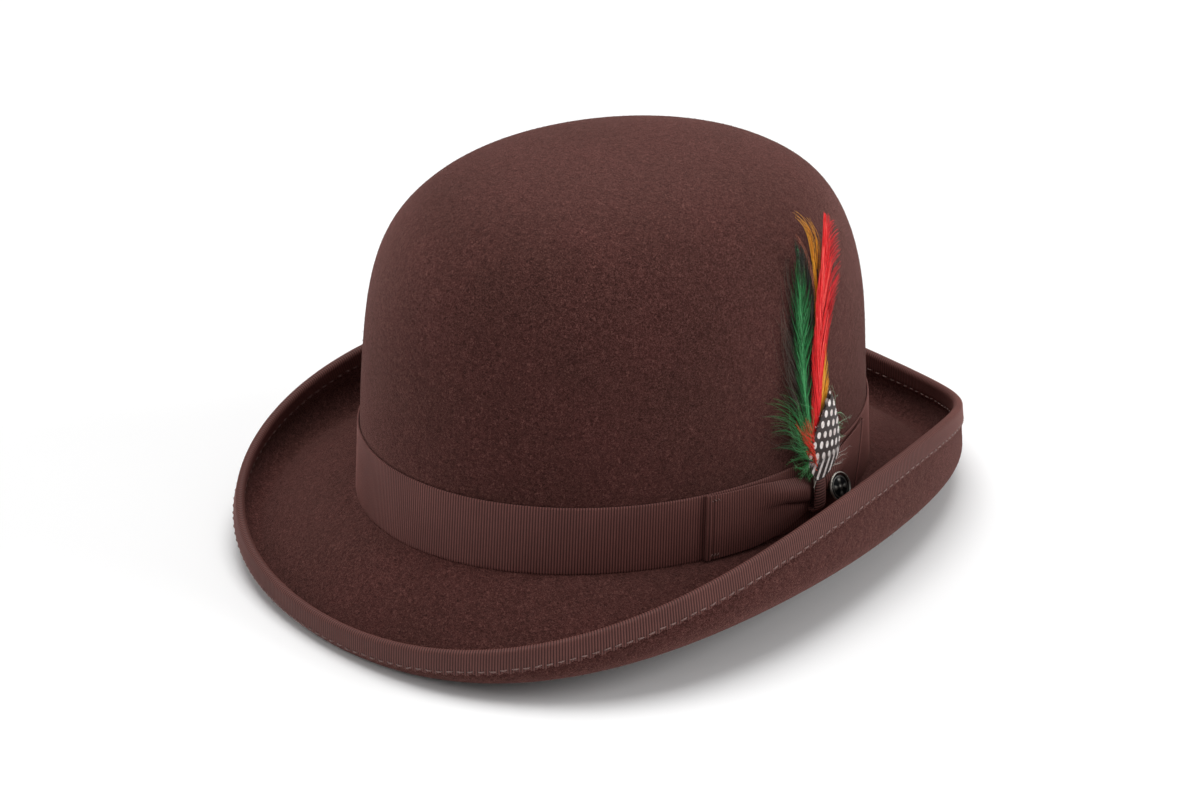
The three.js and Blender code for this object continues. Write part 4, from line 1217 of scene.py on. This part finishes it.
def quills():
    rng = np.random.default_rng(41)
    n, steps = 9, 8
    t = np.linspace(0, 1, steps)[None, :]
    foot = -5.3 + np.linspace(-1.1, 1.1, n)[:, None]
    head = np.linspace(-8.2, -1.5, n)[:, None]
    across = foot + (head - foot) * t**2
    up = 11 + (26.5 - 11) * t + rng.normal(0, 0.3, (n, 1))
    lift = 4.25 + rng.normal(0, 0.12, (n, 1)) + 1.6 * t**8
    lines = spray_point(across, up, lift)
    widths = np.broadcast_to(0.32 - 0.08 * t, (n, steps))
    tone = np.broadcast_to(0.3 + 0.5 * rng.random((n, 1)), (n, steps))
    stem = tubes("quill_bundle", lines, widths, SPRAY_OUT, {"tone": tone}, flat=0.9, sides=6)
    finish_piece(stem, "feather_spray", "quill", QUILL, "spray_stem")
    turns = np.linspace(0, 5 * TURN, 150)
    up = 22.0 + 1.3 * turns / (5 * TURN)
    coil = spray_point(-5.3 + 1.7 * np.cos(turns), up, 4.3 + 0.85 * np.sin(turns))
    loop = spray_point(
        -5.3 + np.interp(np.linspace(0, 1, 30), [0, 0.3, 0.6, 1], [1.7, -2.9, -4.0, -4.2]),
        np.interp(np.linspace(0, 1, 30), [0, 0.3, 0.6, 1], [23.3, 22.6, 20.6, 19.4]),
        np.interp(np.linspace(0, 1, 30), [0, 0.3, 0.6, 1], [4.3, 5.8, 5.9, 5.6]),
    )
    line = np.concatenate([coil, loop])[None]
    tone = np.full((1, line.shape[1]), 0.7)
    wrap = tubes("quill_wire", line, np.full((1, line.shape[1]), 0.17), SPRAY_OUT, {"tone": tone}, 1.0,
        sides=6)
    finish_piece(wrap, "feather_spray", "quill", QUILL, "spray_wrap")


# ---- inside of the crown ----
LINING_OFFSET = -2.6


def lining():
    a = np.arange(360) / 360 * TURN
    levels = np.concatenate([np.linspace(0.1, 0.8, 26), [0.82, 0.835, 0.845]])
    gather = 0.28 * np.cos(60 * a)[:, None] * smoothstep(levels, 0.62, 0.84) * 0.7
    outer = crown_point(a[:, None], levels, LINING_OFFSET - 0.35 + gather * 0.5)
    inner = crown_point(a[:, None], levels[::-1], LINING_OFFSET - 0.65 + gather[:, ::-1] * 0.5)
    side = closed_grid("lining_wall", np.concatenate([outer, inner], 1))
    finish_piece(side, "hat", "satin", SATIN, "lining_side")
    share = np.linspace((1 - 0.86 ** SIDE_POWERS[0]) ** (1 / 3), 0.012, 34)
    levels = (1 - share**3) ** (1 / SIDE_POWERS[0])
    outer = crown_point(a[:, None], levels, LINING_OFFSET - 0.35)
    inner = crown_point(a[:, None], levels, LINING_OFFSET - 0.65)
    points = np.concatenate([outer[:, ::-1], inner], 1)
    tip = closed_grid("lining_top", points, True, False, tips=True)
    finish_piece(tip, "hat", "satin", SATIN, "lining_tip")
    around = np.arange(720) / 720 * TURN
    bend = np.arange(8) / 8 * TURN
    twist = 0.08 * np.cos(220 * around)[:, None]
    cord = crown_point(
        around[:, None], 0.853 + 0.006 * np.cos(bend), -4.2 + (0.6 + twist) * np.sin(bend)[None, :]
    )
    piping = closed_grid("lining_cord", cord)
    finish_piece(piping, "hat", "satin", SATIN, "lining_piping")


def sweatband():
    a = np.arange(480) / 480 * TURN
    offset = -3.5
    heights = np.array([1.9, 2.4, 4, 8, 14, 20, 26, 32, 38, 41, 41.8, 42.0])
    lean = offset - 0.02 * heights - 0.12 * np.sin(heights / 42 * math.pi)
    wave = 0.10 * np.sin(9 * a)[:, None] * smoothstep(heights, 20, 42) + 0.05 * np.sin(23 * a + 1)[:, None]
    outer = wall_point(a[:, None], heights, lean - 0.1 + wave * 0.6)
    inner = wall_point(a[:, None], heights[::-1], (lean - 0.85)[::-1] + wave[:, ::-1] * 0.6)
    band = closed_grid("sweatband_strip", np.concatenate([outer, inner], 1))
    finish_piece(band, "hat", "sweatband_leather", LEATHER, "sweatband")
    bend = np.arange(8) / 8 * TURN
    around = np.arange(960) / 960 * TURN
    wind = 0.05 * np.cos(240 * around)[:, None]
    reed = wall_point(
        around[:, None], 1.0 + (0.6 + wind) * np.sin(bend), offset - 0.55 + (0.55 + wind) * np.cos(bend)
    )
    roll = closed_grid("sweatband_piping", reed)
    finish_piece(roll, "hat", "sweatband_leather", LEATHER, "sweatband_reed")
    count, steps = 190, 6
    start = np.arange(count) / count * TURN
    t = np.linspace(0, 1, steps)[None, :]
    angle = start[:, None] + TURN / count * (0.1 + 0.7 * t)
    for name, height in (("sweatband_stitches_low", 3.2), ("sweatband_stitches_high", 39.2)):
        low = offset - 0.02 * height - 0.12 * math.sin(height / 42 * math.pi) - 0.85
        wavy = 0.06 * (0.10 * np.sin(9 * angle) * smoothstep(height, 20, 42)
            + 0.05 * np.sin(23 * angle + 1)) * 10
        lines = wall_point(angle, height, low + wavy + 0.06 - 0.16 * np.sin(math.pi * t))
        widths = np.tile(0.13 * np.sin(np.linspace(0.5, math.pi - 0.5, steps)) + 0.03, (count, 1))
        row = tubes(name, lines, widths, -outward(angle), flat=1.0, sides=5)
        finish_piece(row, "hat", "thread", THREAD)


def little_bow():
    """Flat ribbon bow that covers the join of the sweatband, inside at the back."""
    offset = -3.2 - 0.9 - 0.24 - 0.6
    for side in (-1, 1):
        t = np.linspace(0, 1, 60)[:, None]
        v = np.linspace(-1, 1, 15)[None, :]
        reach = 9.0 * np.sin(math.pi * np.minimum(t, 1)) ** 0.75
        half = 1.3 + 2.3 * smoothstep(np.sin(math.pi * t), 0.1, 0.9)
        depth = offset - 0.28 + 0.3 * np.cos(math.pi * t)
        angle = math.pi / 2 - side * (0.3 + reach) / (BREAK_HALF_WIDTH * 0.95)
        cup = 0.14 * (v**2) * (1 - t)
        place = wall_point(angle + 0 * v, 9 + half * v, depth - cup)
        body = sheet_body(place, 0.1)
        # Painted shade in the grooves between the ribs and painted highlight on their crests.
        groove_shade = np.repeat(0.5 - 0.5 * np.cos(np.arange(60) / 3 * TURN)[:, None], body.shape[1], 1)
        obj = closed_ribbon(f"little_bow_loop_{'left' if side < 0 else 'right'}", body,
            {"groove_shade": groove_shade.ravel()})
        finish_piece(obj, "hat", "satin", RIBBON)
    turns = np.arange(24) / 24 * TURN
    v = np.linspace(-1, 1, 11)
    angle = math.pi / 2 + 1.25 * v[None, :] / (BREAK_HALF_WIDTH * 0.95)
    place = wall_point(angle, 9 + 1.9 * np.sin(turns)[:, None],
        offset - 0.28 + 0.62 * np.cos(turns)[:, None])
    both = np.concatenate([place, place[:, ::-1] + [0, 0.12, 0]], 1)
    # An even value of the painted rib shade, nearer the lighter colour.
    groove_shade = np.full(both.shape[:2], 0.4)
    knot = closed_grid("little_bow_knot", both, True, True, {"groove_shade": groove_shade.ravel()})
    finish_piece(knot, "hat", "satin", RIBBON, "sweatband_bow")


felt()
nap()
binding()
binding_seam("seam_inner_stitches", "binding_seam_inner", 1)
binding_seam("seam_outer_stitches", "binding_seam_outer", -1)
hat_band()
bow_wings()
strap()
corner_stitches()
button()
feathers()
quills()
lining()
sweatband()
little_bow()


# ---- stage ----
def stage():
    floor = bpy.data.meshes.new("floor")
    size = 6.0
    floor.from_pydata([(-size, -size, 0), (size, -size, 0), (size, size, 0), (-size, size, 0)], [],
        [(0, 1, 2, 3)])
    obj = bpy.data.objects.new("floor", floor)
    bpy.context.scene.collection.objects.link(obj)
    look = Look("pale_floor", 0.9)
    look.colour(look.ramp(look.noise(3, 2, 0.5), (0.3, (0.90, 0.90, 0.90)), (0.7, (0.93, 0.93, 0.93))))
    floor.materials.append(look.material)
    world = bpy.data.worlds.new("studio")
    bpy.context.scene.world = world
    world.use_nodes = True
    background = world.node_tree.nodes["Background"]
    background.inputs["Color"].default_value = (1.0, 1.0, 1.0, 1)
    background.inputs["Strength"].default_value = 0.4
    for name, place, size, power in (
        ("top_softbox", (-0.15, 0.1, 1.9), 1.5, 27.0),
        ("right_softbox", (1.17, 0.97, 0.75), 0.9, 10.5),
        ("left_softbox", (-0.98, -1.27, 0.9), 0.9, 4.0),
    ):
        light = bpy.data.lights.new(name, "AREA")
        light.shape, light.size, light.energy = "DISK", size, power
        lamp = bpy.data.objects.new(name, light)
        lamp.location = place
        aim = Vector((0, 0, 0.08)) - Vector(place)
        lamp.rotation_euler = aim.to_track_quat("-Z", "Y").to_euler()
        bpy.context.scene.collection.objects.link(lamp)


def camera():
    azimuth, elevation, distance = math.radians(49.089), math.radians(25.195), 1.44303
    lens = 114.6684  # millimetres, on a sensor 36 mm wide
    turn_right, turn_up = 0.00415982, 0.01703172  # how far the aim is turned off the target, as tangents
    back = Vector(
        (
            math.sin(azimuth) * math.cos(elevation),
            -math.cos(azimuth) * math.cos(elevation),
            math.sin(elevation),
        )
    )
    target = Vector((0, SHIFT_Y * MM, 0.07765))
    right = Vector((0, 0, 1)).cross(back).normalized()
    up = back.cross(right)
    forward = (-back - right * turn_right - up * turn_up).normalized()
    right = forward.cross(up).normalized()
    up = right.cross(forward)
    cam = bpy.data.objects.new("camera", bpy.data.cameras.new("camera"))
    cam.data.sensor_width = 36.0
    cam.data.lens = lens
    cam.data.clip_start, cam.data.clip_end = 0.05, 50
    frame_of = Matrix((right, up, -forward)).transposed().to_4x4()
    frame_of.translation = target + back * distance
    cam.matrix_world = frame_of
    bpy.context.scene.collection.objects.link(cam)
    bpy.context.scene.camera = cam


stage()
camera()
bpy.context.scene.view_settings.view_transform = "Standard"
